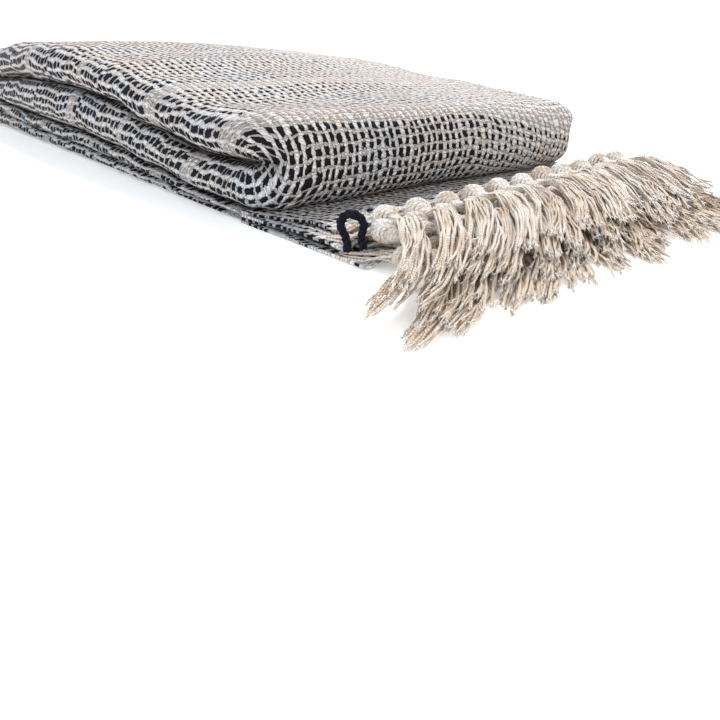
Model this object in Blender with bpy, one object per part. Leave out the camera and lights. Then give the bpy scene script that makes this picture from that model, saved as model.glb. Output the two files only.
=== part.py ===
"""Fringed handwoven shawl, folded into a bundle and laid flat, one solid for each stretch.

Metres, +Z up. The roll runs along X, its left end at x = 0, and the bundle runs back along +Y.
At the end everything is moved so that the middle of its box is over the origin.
"""
import math

import bmesh
import bpy
from mathutils import Matrix, Vector

# Folded bundle
WIDTH = 0.213
LENGTH = 0.475
CORNER = 0.023
STRETCH_WALL = 0.0025
GAP = 0.0003
RIM_CLEARANCE = 0.0014

# Round of each side: how far a run's edge curves in, and how far each run is set back
ROLL_REACH = 0.018
BACK_REACH = 0.020
RUN_REACH = {"lower": 0.008, "upper": 0.008, "under": 0.011, "top": 0.014}
LEFT_SETBACK = {"lower": 0.003, "upper": 0.0025, "under": 0.0, "top": 0.001}
RIGHT_SETBACK = {"lower": 0.001, "upper": 0.004, "under": 0.002, "top": 0.0}
RECESS = 0.026

# Heights of the runs' borders above the floor, from the roll to the back fold.
# Columns: y, lower end / upper end, upper end / under run, under run / top run, top.
LEFT_HEIGHTS = (
    (0.000, 0.0027, 0.0055, 0.0255, 0.0455),
    (0.060, 0.0028, 0.0060, 0.0240, 0.0470),
    (0.120, 0.0045, 0.0105, 0.0300, 0.0520),
    (0.165, 0.0060, 0.0145, 0.0385, 0.0585),
    (0.250, 0.0075, 0.0170, 0.0425, 0.0650),
    (0.350, 0.0085, 0.0180, 0.0425, 0.0660),
    (0.430, 0.0120, 0.0205, 0.0385, 0.0605),
    (0.475, 0.0160, 0.0205, 0.0330, 0.0540),
)
RIGHT_HEIGHTS = (
    (0.000, 0.0027, 0.0055, 0.0235, 0.0380),
    (0.100, 0.0030, 0.0070, 0.0260, 0.0455),
    (0.200, 0.0045, 0.0115, 0.0320, 0.0530),
    (0.300, 0.0065, 0.0145, 0.0355, 0.0575),
    (0.400, 0.0100, 0.0175, 0.0355, 0.0570),
    (0.475, 0.0140, 0.0185, 0.0300, 0.0490),
)

# Soft swells and hollows of the top. Columns: x, y, reach along x, reach along y, height
TOP_SWELLS = (
    (0.100, 0.260, 0.090, 0.200, 0.0050),
    (0.035, 0.060, 0.045, 0.028, -0.0028),
    (0.120, 0.070, 0.060, 0.025, -0.0016),
    (0.150, 0.190, 0.040, 0.060, 0.0015),
    (0.060, 0.390, 0.050, 0.060, -0.0020),
)

# Steps round the bundle and up its sides
ARC_STEPS = 2
FRONT_STEPS = 10
SIDE_STEPS = 22
LAYER_ANGLES = (-80, -28, 28, 80)
UNDER_ANGLES = (-80, -52, -26, 0, 26, 52, 76)
TOP_ANGLES = (-76, -48, -20, 6, 34, 62, 90)

# Fringed ends: two lips on each, an upper and a lower one. Columns: name, floor of the end,
# its thickness under the roll, left and right at the root
ENDS = (
    ("lower_end", 0.0000, 0.0025, 0.003, 0.210),
    ("upper_end", 0.0028, 0.0024, 0.003, 0.207),
)
END_ROOT = 0.0255
LIP_THICKNESS = 0.0012
LIP_NOSE = 0.0008
LIP_RISE_REACH = 0.0030
PUCKER = 0.0030
END_STEPS_PER_TASSEL = 6
# The ends lie askew: their edges reach out further towards the left by this much a metre
ASKEW = 0.12

# Tassel rows. Columns: name, reach of the row's lip at the right, knot height, first x, heights
# of the locks at their three sections, lock length, first and last turn in degrees, sideways bow
TASSEL_ROWS = (
    ("lower_front", 0.041, 0.0048, 0.0125, (0.0022, 0.0017, 0.0015), 0.068, -38.0, -12.0, 0.0026),
    ("lower_back", 0.033, 0.0068, 0.0210, (0.0082, 0.0044, 0.0034), 0.069, -35.0, -13.0, -0.0022),
    ("upper_front", 0.026, 0.0103, 0.0145, (0.0132, 0.0092, 0.0070), 0.071, -38.0, -20.0, 0.0026),
    ("upper_back", 0.019, 0.0130, 0.0230, (0.0172, 0.0144, 0.0104), 0.070, -33.0, -15.0, -0.0030),
)
KNOT_SEAT = 0.0003
TASSELS_PER_ROW = 11
TASSEL_PITCH = 0.0174
KNOT_RADIUS = 0.0043
KNOT_LENGTH = 0.0095
# Columns: share of the knot's length, share of its radius
KNOT_SECTIONS = ((-0.5, 0.40), (-0.28, 0.86), (0.08, 1.0), (0.34, 0.70), (0.5, 0.54))
LOCKS = 5
LOCK_PITCH = 0.0027
LOCK_WAVE = 0.0007
# Columns: share of the lock's length, half width, half height
LOCK_SECTIONS = ((0.30, 0.0009, 0.0008), (0.66, 0.0012, 0.0009), (1.0, 0.0007, 0.0005))

# Thick black yarn that stands out of the near corner of the upper end
LOOP_RADIUS = 0.0015
LOOP_LEG = 0.0085
LOOP_BEND = 0.0040
LOOP_TURN = -38.0
# Middle between the loop's feet, from the near corner of the upper end
LOOP_FOOT = (0.0, 0.0, 0.0057)
LOOP_ARC_STEPS = 8

COTTON = (0.74, 0.70, 0.64)
FLECKED = (0.42, 0.40, 0.38)
FRINGE = (0.76, 0.68, 0.57)
BLACK_YARN = (0.018, 0.018, 0.026)


def make_material(name, colour, roughness=0.9):
    material = bpy.data.materials.new(name)
    material.use_nodes = True
    shader = material.node_tree.nodes["Principled BSDF"]
    shader.inputs["Base Color"].default_value = (*colour, 1.0)
    shader.inputs["Roughness"].default_value = roughness
    shader.inputs["Metallic"].default_value = 0.0
    material.diffuse_color = (*colour, 1.0)
    return material


def add_object(name, points, faces, material):
    """One closed body from points and faces, its faces turned outwards."""
    mesh = bpy.data.meshes.new(name)
    mesh.from_pydata([tuple(point) for point in points], [], faces)
    shape = bmesh.new()
    shape.from_mesh(mesh)
    bmesh.ops.recalc_face_normals(shape, faces=shape.faces)
    if shape.calc_volume(signed=True) < 0:
        bmesh.ops.reverse_faces(shape, faces=shape.faces)
    bmesh.ops.triangulate(shape, faces=[face for face in shape.faces if len(face.verts) > 3])
    shape.to_mesh(mesh)
    shape.free()
    mesh.shade_smooth()
    mesh.materials.append(material)
    bundle_part = bpy.data.objects.new(name, mesh)
    bpy.context.collection.objects.link(bundle_part)
    return bundle_part


def smooth(value):
    value = min(max(value, 0.0), 1.0)
    return value * value * (3.0 - 2.0 * value)


def from_table(rows, y):
    """Heights at y, eased between the table's rows."""
    if y <= rows[0][0]:
        return rows[0][1:]
    for low, high in zip(rows, rows[1:]):
        if y <= high[0]:
            share = smooth((y - low[0]) / (high[0] - low[0]))
            return tuple(a + (b - a) * share for a, b in zip(low[1:], high[1:]))
    return rows[-1][1:]


def heights(x, y):
    """Heights of the four borders at a place, the last one being the top."""
    share = min(max(x / WIDTH, 0.0), 1.0)
    left = from_table(LEFT_HEIGHTS, y)
    right = from_table(RIGHT_HEIGHTS, y)
    borders = [a + (b - a) * share for a, b in zip(left, right)]
    for centre_x, centre_y, reach_x, reach_y, height in TOP_SWELLS:
        square = ((x - centre_x) / reach_x) ** 2 + ((y - centre_y) / reach_y) ** 2
        borders[3] += height * math.exp(-square)
    return borders


def top_height(x, y):
    return heights(x, y)[3]


def outline():
    """Points round the bundle: place, way in, and share of left, front, right and back."""
    centres = {
        "near_left": Vector((CORNER, CORNER)),
        "near_right": Vector((WIDTH - CORNER, CORNER)),
        "far_right": Vector((WIDTH - CORNER, LENGTH - CORNER)),
        "far_left": Vector((CORNER, LENGTH - CORNER)),
    }
    sides = (
        ("near_left", "near_right", 270, FRONT_STEPS, "front", "left", "right"),
        ("near_right", "far_right", 0, SIDE_STEPS, "right", "front", "back"),
        ("far_right", "far_left", 90, FRONT_STEPS, "back", "right", "left"),
        ("far_left", "near_left", 180, SIDE_STEPS, "left", "back", "front"),
    )
    ring = []
    for first, last, facing, steps, side, before, after in sides:
        straight = steps - 2 * ARC_STEPS
        for step in range(steps):
            share = {side: 1.0}
            if step < ARC_STEPS:
                turn = step / ARC_STEPS
                centre, angle = centres[first], facing - 45 + 45 * turn
                weight = 0.5 + 0.5 * smooth(turn)
                share = {side: weight, before: 1.0 - weight}
            elif step > steps - ARC_STEPS:
                turn = (step - steps + ARC_STEPS) / ARC_STEPS
                centre, angle = centres[last], facing + 45 * turn
                weight = 1.0 - 0.5 * smooth(turn)
                share = {side: weight, after: 1.0 - weight}
            else:
                along = (step - ARC_STEPS) / straight
                centre, angle = centres[first].lerp(centres[last], along), facing
            out = Vector((math.cos(math.radians(angle)), math.sin(math.radians(angle))))
            ring.append((centre + out * CORNER, -out, share))
    return ring


def lobe(angles, reach, setback, low, high):
    """Rounded edge of one run. Each point: inset, low border, high border, rise from -1 to 1."""
    points = []
    for angle in angles:
        turn = math.radians(angle)
        points.append((setback + reach * (1 - math.cos(turn)), low, high, math.sin(turn)))
    return points


def side_profile(setback):
    """Left and right sides: four runs, one above the other, with grooves between them."""
    ends = lobe(LAYER_ANGLES, RUN_REACH["lower"], setback["lower"], 0, 1)
    ends += lobe(LAYER_ANGLES, RUN_REACH["upper"], setback["upper"], 1, 2)
    stretch = lobe(UNDER_ANGLES, RUN_REACH["under"], setback["under"], 2, 3)
    stretch += lobe(TOP_ANGLES, RUN_REACH["top"], setback["top"], 3, 4)
    return ends, stretch


def roll_profile():
    """Front: one thick roll over the recess that the ends leave through."""
    total = len(UNDER_ANGLES) + len(TOP_ANGLES)
    angles = [-90 + 180 * step / (total - 1) for step in range(total)]
    return [], lobe(angles, ROLL_REACH, 0.0, 2, 4)


def back_profile():
    """Back: the outermost fold, one round from the floor to the top."""
    ends = lobe([-90 + 16 * step / 7 for step in range(8)], BACK_REACH, 0.0, 0, 4)
    total = len(UNDER_ANGLES) + len(TOP_ANGLES)
    angles = [-70 + 160 * step / (total - 1) for step in range(total)]
    return ends, lobe(angles, BACK_REACH, 0.0, 0, 4)


def recessed(base, share):
    """Shares for the ends' edges, whose sides run on to the recess under the roll."""
    side = "left" if base.x < WIDTH / 2 else "right"
    shares = {}
    for name, weight in share.items():
        name = side if name == "front" else name
        shares[name] = shares.get(name, 0.0) + weight
    return shares


def recess_place(base, inward, inset):
    """The ends' edges stop in one straight line under the roll."""
    turned = math.asin(min(max(inward.y, 0.0), 1.0)) / (math.pi / 2)
    aside = inset + (CORNER - inset) * turned
    if turned > 0.99:
        return Vector((base.x, RECESS))
    return Vector((aside if base.x < WIDTH / 2 else WIDTH - aside, RECESS))


def profile_point(base, inward, share, profiles, part, step):
    """Point of the blended side profiles at one place of the outline."""
    if part == 0:
        share = recessed(base, share)
    inset = 0.0
    for side, weight in share.items():
        inset += weight * profiles[side][part][step][0]
    place = base + inward * inset
    if part == 0 and base.y < CORNER + GAP:
        place = recess_place(base, inward, inset)
    borders = [0.0] + heights(place.x, place.y)
    z = 0.0
    for side, weight in share.items():
        low, high, rise = profiles[side][part][step][1:]
        middle = (borders[low] + borders[high]) / 2
        z += weight * (middle + (borders[high] - borders[low]) / 2 * rise)
    return Vector((place.x, place.y, z))


def bundle_rings():
    """Rings of the ends' edges, from the floor up, and of the stretch above them."""
    profiles = {
        "left": side_profile(LEFT_SETBACK),
        "right": side_profile(RIGHT_SETBACK),
        "front": roll_profile(),
        "back": back_profile(),
    }
    ring = outline()
    edge_rings = []
    stretch_rings = []
    for part, rings, count in ((0, edge_rings, 8), (1, stretch_rings, 14)):
        for step in range(count):
            points = [profile_point(*place, profiles, part, step) for place in ring]
            rings.append(points)
    inward = [Vector((way.x, way.y, 0.0)) for _, way, _ in ring]
    return edge_rings, stretch_rings, inward


def ring_faces(first, second, count):
    """Two triangles for each step between two rings that start at the given indices."""
    faces = []
    for step in range(count):
        after = (step + 1) % count
        faces.append((first + step, first + after, second + after))
        faces.append((first + step, second + after, second + step))
    return faces


def fill_ring(ring, start, first_new, height_at):
    """Fills a ring with a grid: new points inside it, and triangles from index to index."""
    front, side = FRONT_STEPS, SIDE_STEPS
    total = 2 * (front + side)
    index = {}
    for step in range(total):
        if step < front:
            key = (step, 0)
        elif step < front + side:
            key = (front, step - front)
        elif step < 2 * front + side:
            key = (2 * front + side - step, side)
        else:
            key = (0, total - step)
        index[key] = start + step
    border = {key: ring[value - start] for key, value in index.items()}
    points = []
    for i in range(1, front):
        for j in range(1, side):
            u, v = i / front, j / side
            along = border[(0, j)].lerp(border[(front, j)], u)
            across = border[(i, 0)].lerp(border[(i, side)], v)
            low = border[(0, 0)].lerp(border[(front, 0)], u)
            high = border[(0, side)].lerp(border[(front, side)], u)
            place = along + across - low.lerp(high, v)
            place.z = height_at(place.x, place.y)
            index[(i, j)] = first_new + len(points)
            points.append(place)
    faces = []
    for i in range(front):
        for j in range(side):
            a, b = index[(i, j)], index[(i + 1, j)]
            c, d = index[(i + 1, j + 1)], index[(i, j + 1)]
            faces.append((a, b, c))
            faces.append((a, c, d))
    return points, faces


def stretch_surface(stretch_rings):
    """Outer face of the top stretch: points, their outward normals, and triangles."""
    count = len(stretch_rings[0])
    points = [point for ring in stretch_rings for point in ring]
    faces = []
    for step in range(len(stretch_rings) - 1):
        faces += ring_faces(step * count, (step + 1) * count, count)
    last = (len(stretch_rings) - 1) * count
    inner, inner_faces = fill_ring(stretch_rings[-1], last, len(points), top_height)
    points += inner
    faces += inner_faces
    mesh = bpy.data.meshes.new("stretch_surface")
    mesh.from_pydata([tuple(point) for point in points], [], faces)
    normals = [vertex.normal.copy() for vertex in mesh.vertices]
    bpy.data.meshes.remove(mesh)
    return points, normals, faces


def reversed_faces(faces, offset):
    return [tuple(index + offset for index in reversed(face)) for face in faces]


def make_top_stretch(points, normals, faces, count, material):
    """Cloth over the top, round the roll and down the back, with its left and right folds."""
    inner = [point - normal * STRETCH_WALL for point, normal in zip(points, normals)]
    total = len(points)
    rim = ring_faces(total, 0, count)
    return add_object("top_stretch", points + inner,
                      faces + reversed_faces(faces, total) + rim, material)


def make_hidden_layers(edge_rings, inward, points, normals, faces, count, material):
    """Rounded solid under the top stretch, layered at its left and right edges."""
    core = [point - normal * (STRETCH_WALL + GAP) for point, normal in zip(points, normals)]
    shelf = []
    for step in range(count):
        core[step] = core[step] + inward[step] * RIM_CLEARANCE
        core[count + step] = core[count + step] + inward[step] * RIM_CLEARANCE
        place = points[step] + inward[step] * RIM_CLEARANCE
        top = edge_rings[-1][step].z
        lowered = (top - GAP) / top
        for ring in edge_rings:
            ring[step].z *= lowered
        shelf.append(Vector((place.x, place.y, top - GAP)))
    low_rings = edge_rings + [shelf]
    low_points = [point for ring in low_rings for point in ring]
    offset = len(low_points)
    low_faces = []
    for step in range(len(low_rings)):
        low_faces += ring_faces(step * count, (step + 1) * count, count)
    high_faces = [tuple(index + offset for index in face) for face in faces]
    middle = offset + len(core)
    floor = [Vector((WIDTH / 2, LENGTH / 2, 0.0))]
    floor_faces = [((step + 1) % count, step, middle) for step in range(count)]
    return add_object("hidden_layers", low_points + core + floor,
                      low_faces + high_faces + floor_faces, material)


def reach_at(row, x):
    """How far the edge of a row's lip reaches out in front of the roll, at x."""
    return row[1] + ASKEW * (WIDTH - x)


def knot_places(row):
    """Middles of one row's knots, just off the edge of the lip that they belong to."""
    places = []
    for number in range(TASSELS_PER_ROW):
        x = row[3] + TASSEL_PITCH * number
        y = -(reach_at(row, x) + LIP_NOSE + KNOT_SEAT + KNOT_LENGTH / 2)
        places.append(Vector((x, y, row[2])))
    return places


def pull(x, places):
    """0 at a knot, 1 halfway between two knots."""
    nearest = min(abs(x - place.x) for place in places)
    return min(nearest / (TASSEL_PITCH / 2), 1.0)


def lip(x, knots, reach, base):
    """Edge of one lip at x: how far out it is, and how high, drawn in and up to each knot."""
    drawn = pull(x, knots)
    rise = (knots[0].z - LIP_THICKNESS / 2 - base) * (1 - drawn) ** 2
    return -reach + PUCKER * drawn, base + rise


def make_end(end, lower_row, upper_row, material):
    """One fringed end: four layers pressed together, which part into two lips at the edge."""
    name, floor, thickness, root_left, root_right = end
    lower_knots, upper_knots = knot_places(lower_row), knot_places(upper_row)
    left = lower_knots[0].x - TASSEL_PITCH / 2
    right = upper_knots[-1].x + TASSEL_PITCH / 2
    steps = round((right - left) / TASSEL_PITCH * END_STEPS_PER_TASSEL)
    upper_base = floor + LIP_THICKNESS * 1.1
    points = []
    for step in range(steps + 1):
        x = left + (right - left) * step / steps
        root_x = root_left + (root_right - root_left) * step / steps
        middle_x = (x + root_x) / 2
        low_y, low_z = lip(x, lower_knots, reach_at(lower_row, x), floor)
        high_y, high_z = lip(x, upper_knots, reach_at(upper_row, x), upper_base)
        round_off = smooth(0.3 + min(x - left, right - x) / 0.006)
        tuck = floor + thickness * round_off
        flat = floor + 2 * LIP_THICKNESS * round_off
        points += [
            Vector((root_x, END_ROOT, floor)),
            Vector((middle_x, 0.006, floor)),
            Vector((x, low_y + LIP_RISE_REACH, floor)),
            Vector((x, low_y, low_z)),
            Vector((x, low_y - LIP_NOSE, low_z + LIP_THICKNESS * 0.5)),
            Vector((x, low_y, low_z + LIP_THICKNESS * 0.95)),
            Vector((x, (low_y + high_y) / 2, floor + LIP_THICKNESS)),
            Vector((x, high_y + LIP_NOSE, (high_z + floor + LIP_THICKNESS) / 2)),
            Vector((x, high_y - LIP_NOSE, high_z + LIP_THICKNESS * 0.4)),
            Vector((x, high_y, high_z + LIP_THICKNESS * 0.9 * round_off)),
            Vector((x, high_y + LIP_RISE_REACH, flat)),
            Vector((middle_x, 0.008, tuck)),
            Vector((root_x, END_ROOT, tuck)),
        ]
    count = 13
    faces = [tuple(range(count)), tuple(reversed(range(steps * count, (steps + 1) * count)))]
    for step in range(steps):
        faces += ring_faces((step + 1) * count, step * count, count)
    return add_object(name, points, faces, material)


def make_tassel(name, knot, turn, lock_heights, length, bow, material):
    """A knotted head, and locks drawn out of the faces of its lower end."""
    points = []
    for share, size in KNOT_SECTIONS:
        for corner in range(LOCKS):
            angle = 2 * math.pi * (corner + 0.25) / LOCKS
            radius = KNOT_RADIUS * size
            points.append(knot + Vector((radius * math.cos(angle), -KNOT_LENGTH * share,
                                         radius * math.sin(angle))))
    faces = [tuple(range(LOCKS))]
    for step in range(len(KNOT_SECTIONS) - 1):
        faces += ring_faces((step + 1) * LOCKS, step * LOCKS, LOCKS)
    centre = len(points)
    points.append(knot + Vector((0.0, -KNOT_LENGTH / 2, 0.0)))
    base = centre - LOCKS
    angles = [2 * math.pi * (lock + 0.75) / LOCKS for lock in range(LOCKS)]
    ranks = sorted(range(LOCKS), key=lambda lock: math.cos(angles[lock]))
    for lock, angle in enumerate(angles):
        previous = [centre, base + lock, base + (lock + 1) % LOCKS]
        aside = (ranks.index(lock) - (LOCKS - 1) / 2) * LOCK_PITCH
        for (share, half_width, half_height), height in zip(LOCK_SECTIONS, lock_heights):
            x = knot.x + aside * smooth(share * 2.2) + bow * math.sin(math.pi * share)
            x += length * math.sin(turn) * share ** 2
            y = knot.y - KNOT_LENGTH / 2 - (length - KNOT_LENGTH) * math.cos(turn) * share
            z = height + LOCK_WAVE * (1 - share) * math.sin(angle)
            fresh = []
            for corner in range(3):
                spin = angle + math.pi + 2 * math.pi * corner / 3
                fresh.append(len(points))
                points.append(Vector((x + half_width * math.cos(spin), y,
                                      z + half_height * math.sin(spin))))
            for corner in range(3):
                after = (corner + 1) % 3
                faces.append((previous[corner], previous[after], fresh[after]))
                faces.append((previous[corner], fresh[after], fresh[corner]))
            previous = fresh
        faces.append(tuple(reversed(previous)))
    return add_object(name, points, faces, material)


def make_tassels(material):
    for row in TASSEL_ROWS:
        name = row[0]
        lock_heights, length, first_turn, last_turn, bow = row[4:]
        for number, knot in enumerate(knot_places(row)):
            share = number / (TASSELS_PER_ROW - 1)
            turn = math.radians(first_turn + (last_turn - first_turn) * share)
            sway = bow * math.cos(2.2 * share * math.pi)
            reach = length * (1.0 + 0.05 * math.sin(2.4 * number))
            make_tassel(f"tassel_{name}_{number + 1:02d}", knot, turn, lock_heights, reach,
                        sway, material)


def make_selvage_loop(material):
    """Thick black edge yarn that loops out at the near corner of the upper end."""
    corner_row = TASSEL_ROWS[2]
    end_x = corner_row[3] - TASSEL_PITCH / 2
    end_y = -reach_at(corner_row, end_x)
    foot = Vector((end_x + LOOP_FOOT[0], end_y + LOOP_FOOT[1], LOOP_FOOT[2]))
    curve = bpy.data.curves.new("selvage_loop", "CURVE")
    curve.dimensions = "3D"
    curve.bevel_depth = LOOP_RADIUS
    curve.bevel_resolution = 2
    curve.use_fill_caps = True
    route = [(-LOOP_BEND, 0.0), (-LOOP_BEND, LOOP_LEG / 2)]
    for step in range(LOOP_ARC_STEPS + 1):
        turn = math.pi * step / LOOP_ARC_STEPS
        route.append((-LOOP_BEND * math.cos(turn), LOOP_LEG + LOOP_BEND * math.sin(turn)))
    route += [(LOOP_BEND, LOOP_LEG / 2), (LOOP_BEND, 0.0)]
    spline = curve.splines.new("POLY")
    spline.points.add(len(route) - 1)
    way = math.radians(LOOP_TURN)
    for point, (across, rise) in zip(spline.points, route):
        point.co = (foot.x + across * math.cos(way), foot.y + across * math.sin(way),
                    foot.z + rise, 1.0)
    curve.materials.append(material)
    loop = bpy.data.objects.new("selvage_loop", curve)
    bpy.context.collection.objects.link(loop)
    return loop


def centre_on_origin():
    """Moves every object so that the middle of the whole box is over the origin."""
    bpy.context.view_layer.update()
    corners = [item.matrix_world @ Vector(corner)
               for item in bpy.data.objects for corner in item.bound_box]
    middle_x = (min(c.x for c in corners) + max(c.x for c in corners)) / 2
    middle_y = (min(c.y for c in corners) + max(c.y for c in corners)) / 2
    for item in bpy.data.objects:
        item.matrix_world = Matrix.Translation((-middle_x, -middle_y, 0.0)) @ item.matrix_world


def main():
    for item in list(bpy.data.objects):
        bpy.data.objects.remove(item, do_unlink=True)
    flecked = make_material("flecked_cotton", FLECKED)
    cotton = make_material("natural_cotton", COTTON)
    fringe = make_material("cotton_yarn", FRINGE)
    black = make_material("black_yarn", BLACK_YARN, 0.8)

    edge_rings, stretch_rings, inward = bundle_rings()
    count = len(inward)
    points, normals, faces = stretch_surface(stretch_rings)
    make_top_stretch(points, normals, faces, count, flecked)
    make_hidden_layers(edge_rings, inward, points, normals, faces, count, cotton)
    make_end(ENDS[0], TASSEL_ROWS[0], TASSEL_ROWS[1], flecked)
    make_end(ENDS[1], TASSEL_ROWS[2], TASSEL_ROWS[3], flecked)
    make_tassels(fringe)
    make_selvage_loop(black)
    centre_on_origin()


main()
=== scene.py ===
"""Looks of the folded handwoven shawl: woven cloth, fringed ends, knotted tassels, black edge yarn.

Metres, +Z up. Lengths below are in the bundle's own frame: the roll runs along X from its left
end at x = 0, and the bundle runs back along +Y. `placed` moves a point to the frame's origin.
"""
import math
import random
from collections import namedtuple

import bmesh
import bpy
import numpy as np
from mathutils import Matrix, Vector, noise


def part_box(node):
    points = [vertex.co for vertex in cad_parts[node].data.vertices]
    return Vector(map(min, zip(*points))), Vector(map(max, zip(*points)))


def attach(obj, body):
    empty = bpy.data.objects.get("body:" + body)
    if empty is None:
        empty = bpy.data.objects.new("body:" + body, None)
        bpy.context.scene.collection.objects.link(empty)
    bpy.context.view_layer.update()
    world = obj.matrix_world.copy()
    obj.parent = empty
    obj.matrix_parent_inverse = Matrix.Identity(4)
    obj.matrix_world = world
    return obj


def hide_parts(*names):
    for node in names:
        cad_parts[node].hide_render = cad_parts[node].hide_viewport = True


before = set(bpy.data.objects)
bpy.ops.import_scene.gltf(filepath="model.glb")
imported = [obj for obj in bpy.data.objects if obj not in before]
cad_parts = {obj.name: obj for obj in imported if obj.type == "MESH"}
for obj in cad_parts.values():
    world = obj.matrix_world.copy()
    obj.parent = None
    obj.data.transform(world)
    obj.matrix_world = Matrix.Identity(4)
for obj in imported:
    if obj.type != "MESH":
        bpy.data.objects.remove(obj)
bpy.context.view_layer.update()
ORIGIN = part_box("top_stretch")[0]
FRAME_SHIFT = Vector((ORIGIN.x, ORIGIN.y, 0.0))

# Folded bundle, as in the solids
WIDTH = 0.213
LENGTH = 0.475
CORNER = 0.023
ROLL_REACH = 0.018
BACK_REACH = 0.020
RUN_REACH = {"lower": 0.008, "upper": 0.008, "under": 0.011, "top": 0.014}
LEFT_SETBACK = {"lower": 0.003, "upper": 0.0025, "under": 0.0, "top": 0.001}
RIGHT_SETBACK = {"lower": 0.001, "upper": 0.004, "under": 0.002, "top": 0.0}
RECESS = 0.026
GAP = 0.0003
LAYER_ANGLES = (-80, -28, 28, 80)
UNDER_ANGLES = (-80, -52, -26, 0, 26, 52, 76)
TOP_ANGLES = (-76, -48, -20, 6, 34, 62, 90)

# Heights of the runs' borders. Columns: y, lower end / upper end, upper end / under run,
# under run / top run, top.
LEFT_HEIGHTS = (
    (0.000, 0.0027, 0.0055, 0.0255, 0.0455),
    (0.060, 0.0028, 0.0060, 0.0240, 0.0470),
    (0.120, 0.0045, 0.0105, 0.0300, 0.0520),
    (0.165, 0.0060, 0.0145, 0.0385, 0.0585),
    (0.250, 0.0075, 0.0170, 0.0425, 0.0650),
    (0.350, 0.0085, 0.0180, 0.0425, 0.0660),
    (0.430, 0.0120, 0.0205, 0.0385, 0.0605),
    (0.475, 0.0160, 0.0205, 0.0330, 0.0540),
)
RIGHT_HEIGHTS = (
    (0.000, 0.0027, 0.0055, 0.0235, 0.0380),
    (0.100, 0.0030, 0.0070, 0.0260, 0.0455),
    (0.200, 0.0045, 0.0115, 0.0320, 0.0530),
    (0.300, 0.0065, 0.0145, 0.0355, 0.0575),
    (0.400, 0.0100, 0.0175, 0.0355, 0.0570),
    (0.475, 0.0140, 0.0185, 0.0300, 0.0490),
)
# Columns: x, y, reach along x, reach along y, height
TOP_SWELLS = (
    (0.100, 0.260, 0.090, 0.200, 0.0050),
    (0.035, 0.060, 0.045, 0.028, -0.0028),
    (0.120, 0.070, 0.060, 0.025, -0.0016),
    (0.150, 0.190, 0.040, 0.060, 0.0015),
    (0.060, 0.390, 0.050, 0.060, -0.0020),
)

# Places up the sides' profiles. The top stretch has its rim at 0, the notch between its two runs
# at NOTCH_PLACE and its top at STRETCH_PLACES. The layers' edges go from the floor to EDGE_PLACES
STRETCH_PLACES = len(UNDER_ANGLES) + len(TOP_ANGLES) - 1
NOTCH_PLACE = len(UNDER_ANGLES) - 0.5
EDGE_PLACES = 2 * len(LAYER_ANGLES) - 1
# Creases between runs, where shade is painted into the cloth's colour. Columns: place, reach to both
# sides
STRETCH_CREASES = ((NOTCH_PLACE, 1.9), (0.0, 1.5))
EDGE_CREASES = ((EDGE_PLACES / 2, 0.9), (EDGE_PLACES, 1.0))

# Steps and rows of the visible cloth, which are finer than the solids'
CORNER_STEPS = 9
FRONT_STEPS = 84
SIDE_STEPS = 178
STRETCH_ROWS = 36
EDGE_ROWS = 20
CLOTH_WALL = 0.0012
# Slack of the top cloth. Columns: waves a metre along x, y and z, their start, height
SLACK_WAVES = (
    ((13, 9, 20), (0, 0, 0), 0.0011),
    ((34, 26, 60), (7, 0, 0), 0.0007),
    ((95, 80, 130), (0, 3, 0), 0.00025),
)
# Height below the top over which the cream yarns come closer together, and by what share
CREST_DEPTH = 0.007
CREST_CLOSE = 0.75
LAYER_CLOSE = 0.15
# Weave of the layers' edges: where it starts, and how askew it lies
LAYER_WEAVE_START = -0.05
LAYER_SKEW = 0.2
LAYER_CROWN = 0.004

# Weave map: radius of the cloth's middle round the roll and the back fold, steps of `follow`
ROLL_RADIUS = 0.0175
BACK_RADIUS = 0.025
FOLLOW_STEPS = 260

# Fringed ends, as in the solids
End = namedtuple("End", "name floor root_left root_right")
ENDS = (End("lower_end", 0.0000, 0.003, 0.210), End("upper_end", 0.0028, 0.003, 0.207))
END_ROOT = 0.0255
LIP_THICKNESS = 0.0011
LIP_GAP = 0.0002
# The ends lie askew: their edges reach out further towards the left by this much a metre
ASKEW = 0.12
TASSELS_PER_ROW = 11
TASSEL_PITCH = 0.0174
KNOT_RADIUS = 0.0043
KNOT_LENGTH = 0.0095
LIP_NOSE = 0.0008
KNOT_SEAT = 0.0003
LOCKS = 5
LOCK_PITCH = 0.0027
LOCK_SECTION_SHARES = (0.30, 0.66, 1.0)

# A row of tassels hangs on each lip. Reach is the lip's at the right, lock_heights are those at the
# locks' three sections, the turns of the first and last tassel are in degrees, bow is sideways
Row = namedtuple("Row", "name reach knot_z first_x lock_heights length first_turn last_turn bow")
TASSEL_ROWS = [Row(*values) for values in (
    ("lower_front", 0.041, 0.0048, 0.0125, (0.0022, 0.0017, 0.0015), 0.068, -38.0, -12.0, 0.0026),
    ("lower_back", 0.033, 0.0068, 0.0210, (0.0082, 0.0044, 0.0034), 0.069, -35.0, -13.0, -0.0022),
    ("upper_front", 0.026, 0.0103, 0.0145, (0.0132, 0.0092, 0.0070), 0.071, -38.0, -20.0, 0.0026),
    ("upper_back", 0.019, 0.0130, 0.0230, (0.0172, 0.0144, 0.0104), 0.070, -33.0, -15.0, -0.0030),
)]

# The lips' mesh, and how it is drawn in and up towards the knots at its edge
LIP_COLUMNS = TASSELS_PER_ROW * 14
LIP_ROWS = 52
EDGE_BACK = 0.0026
EDGE_DIP = 0.0042
DRAW_SHARE = 0.62
DRAW_DEPTH = 0.015
LIFT_SHARE = 0.8
LIFT_DEPTH = 0.010
FAN_DEPTH = 0.036
PUCKER_HEIGHT = 0.0014
PUCKERS = 1050.0
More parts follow.
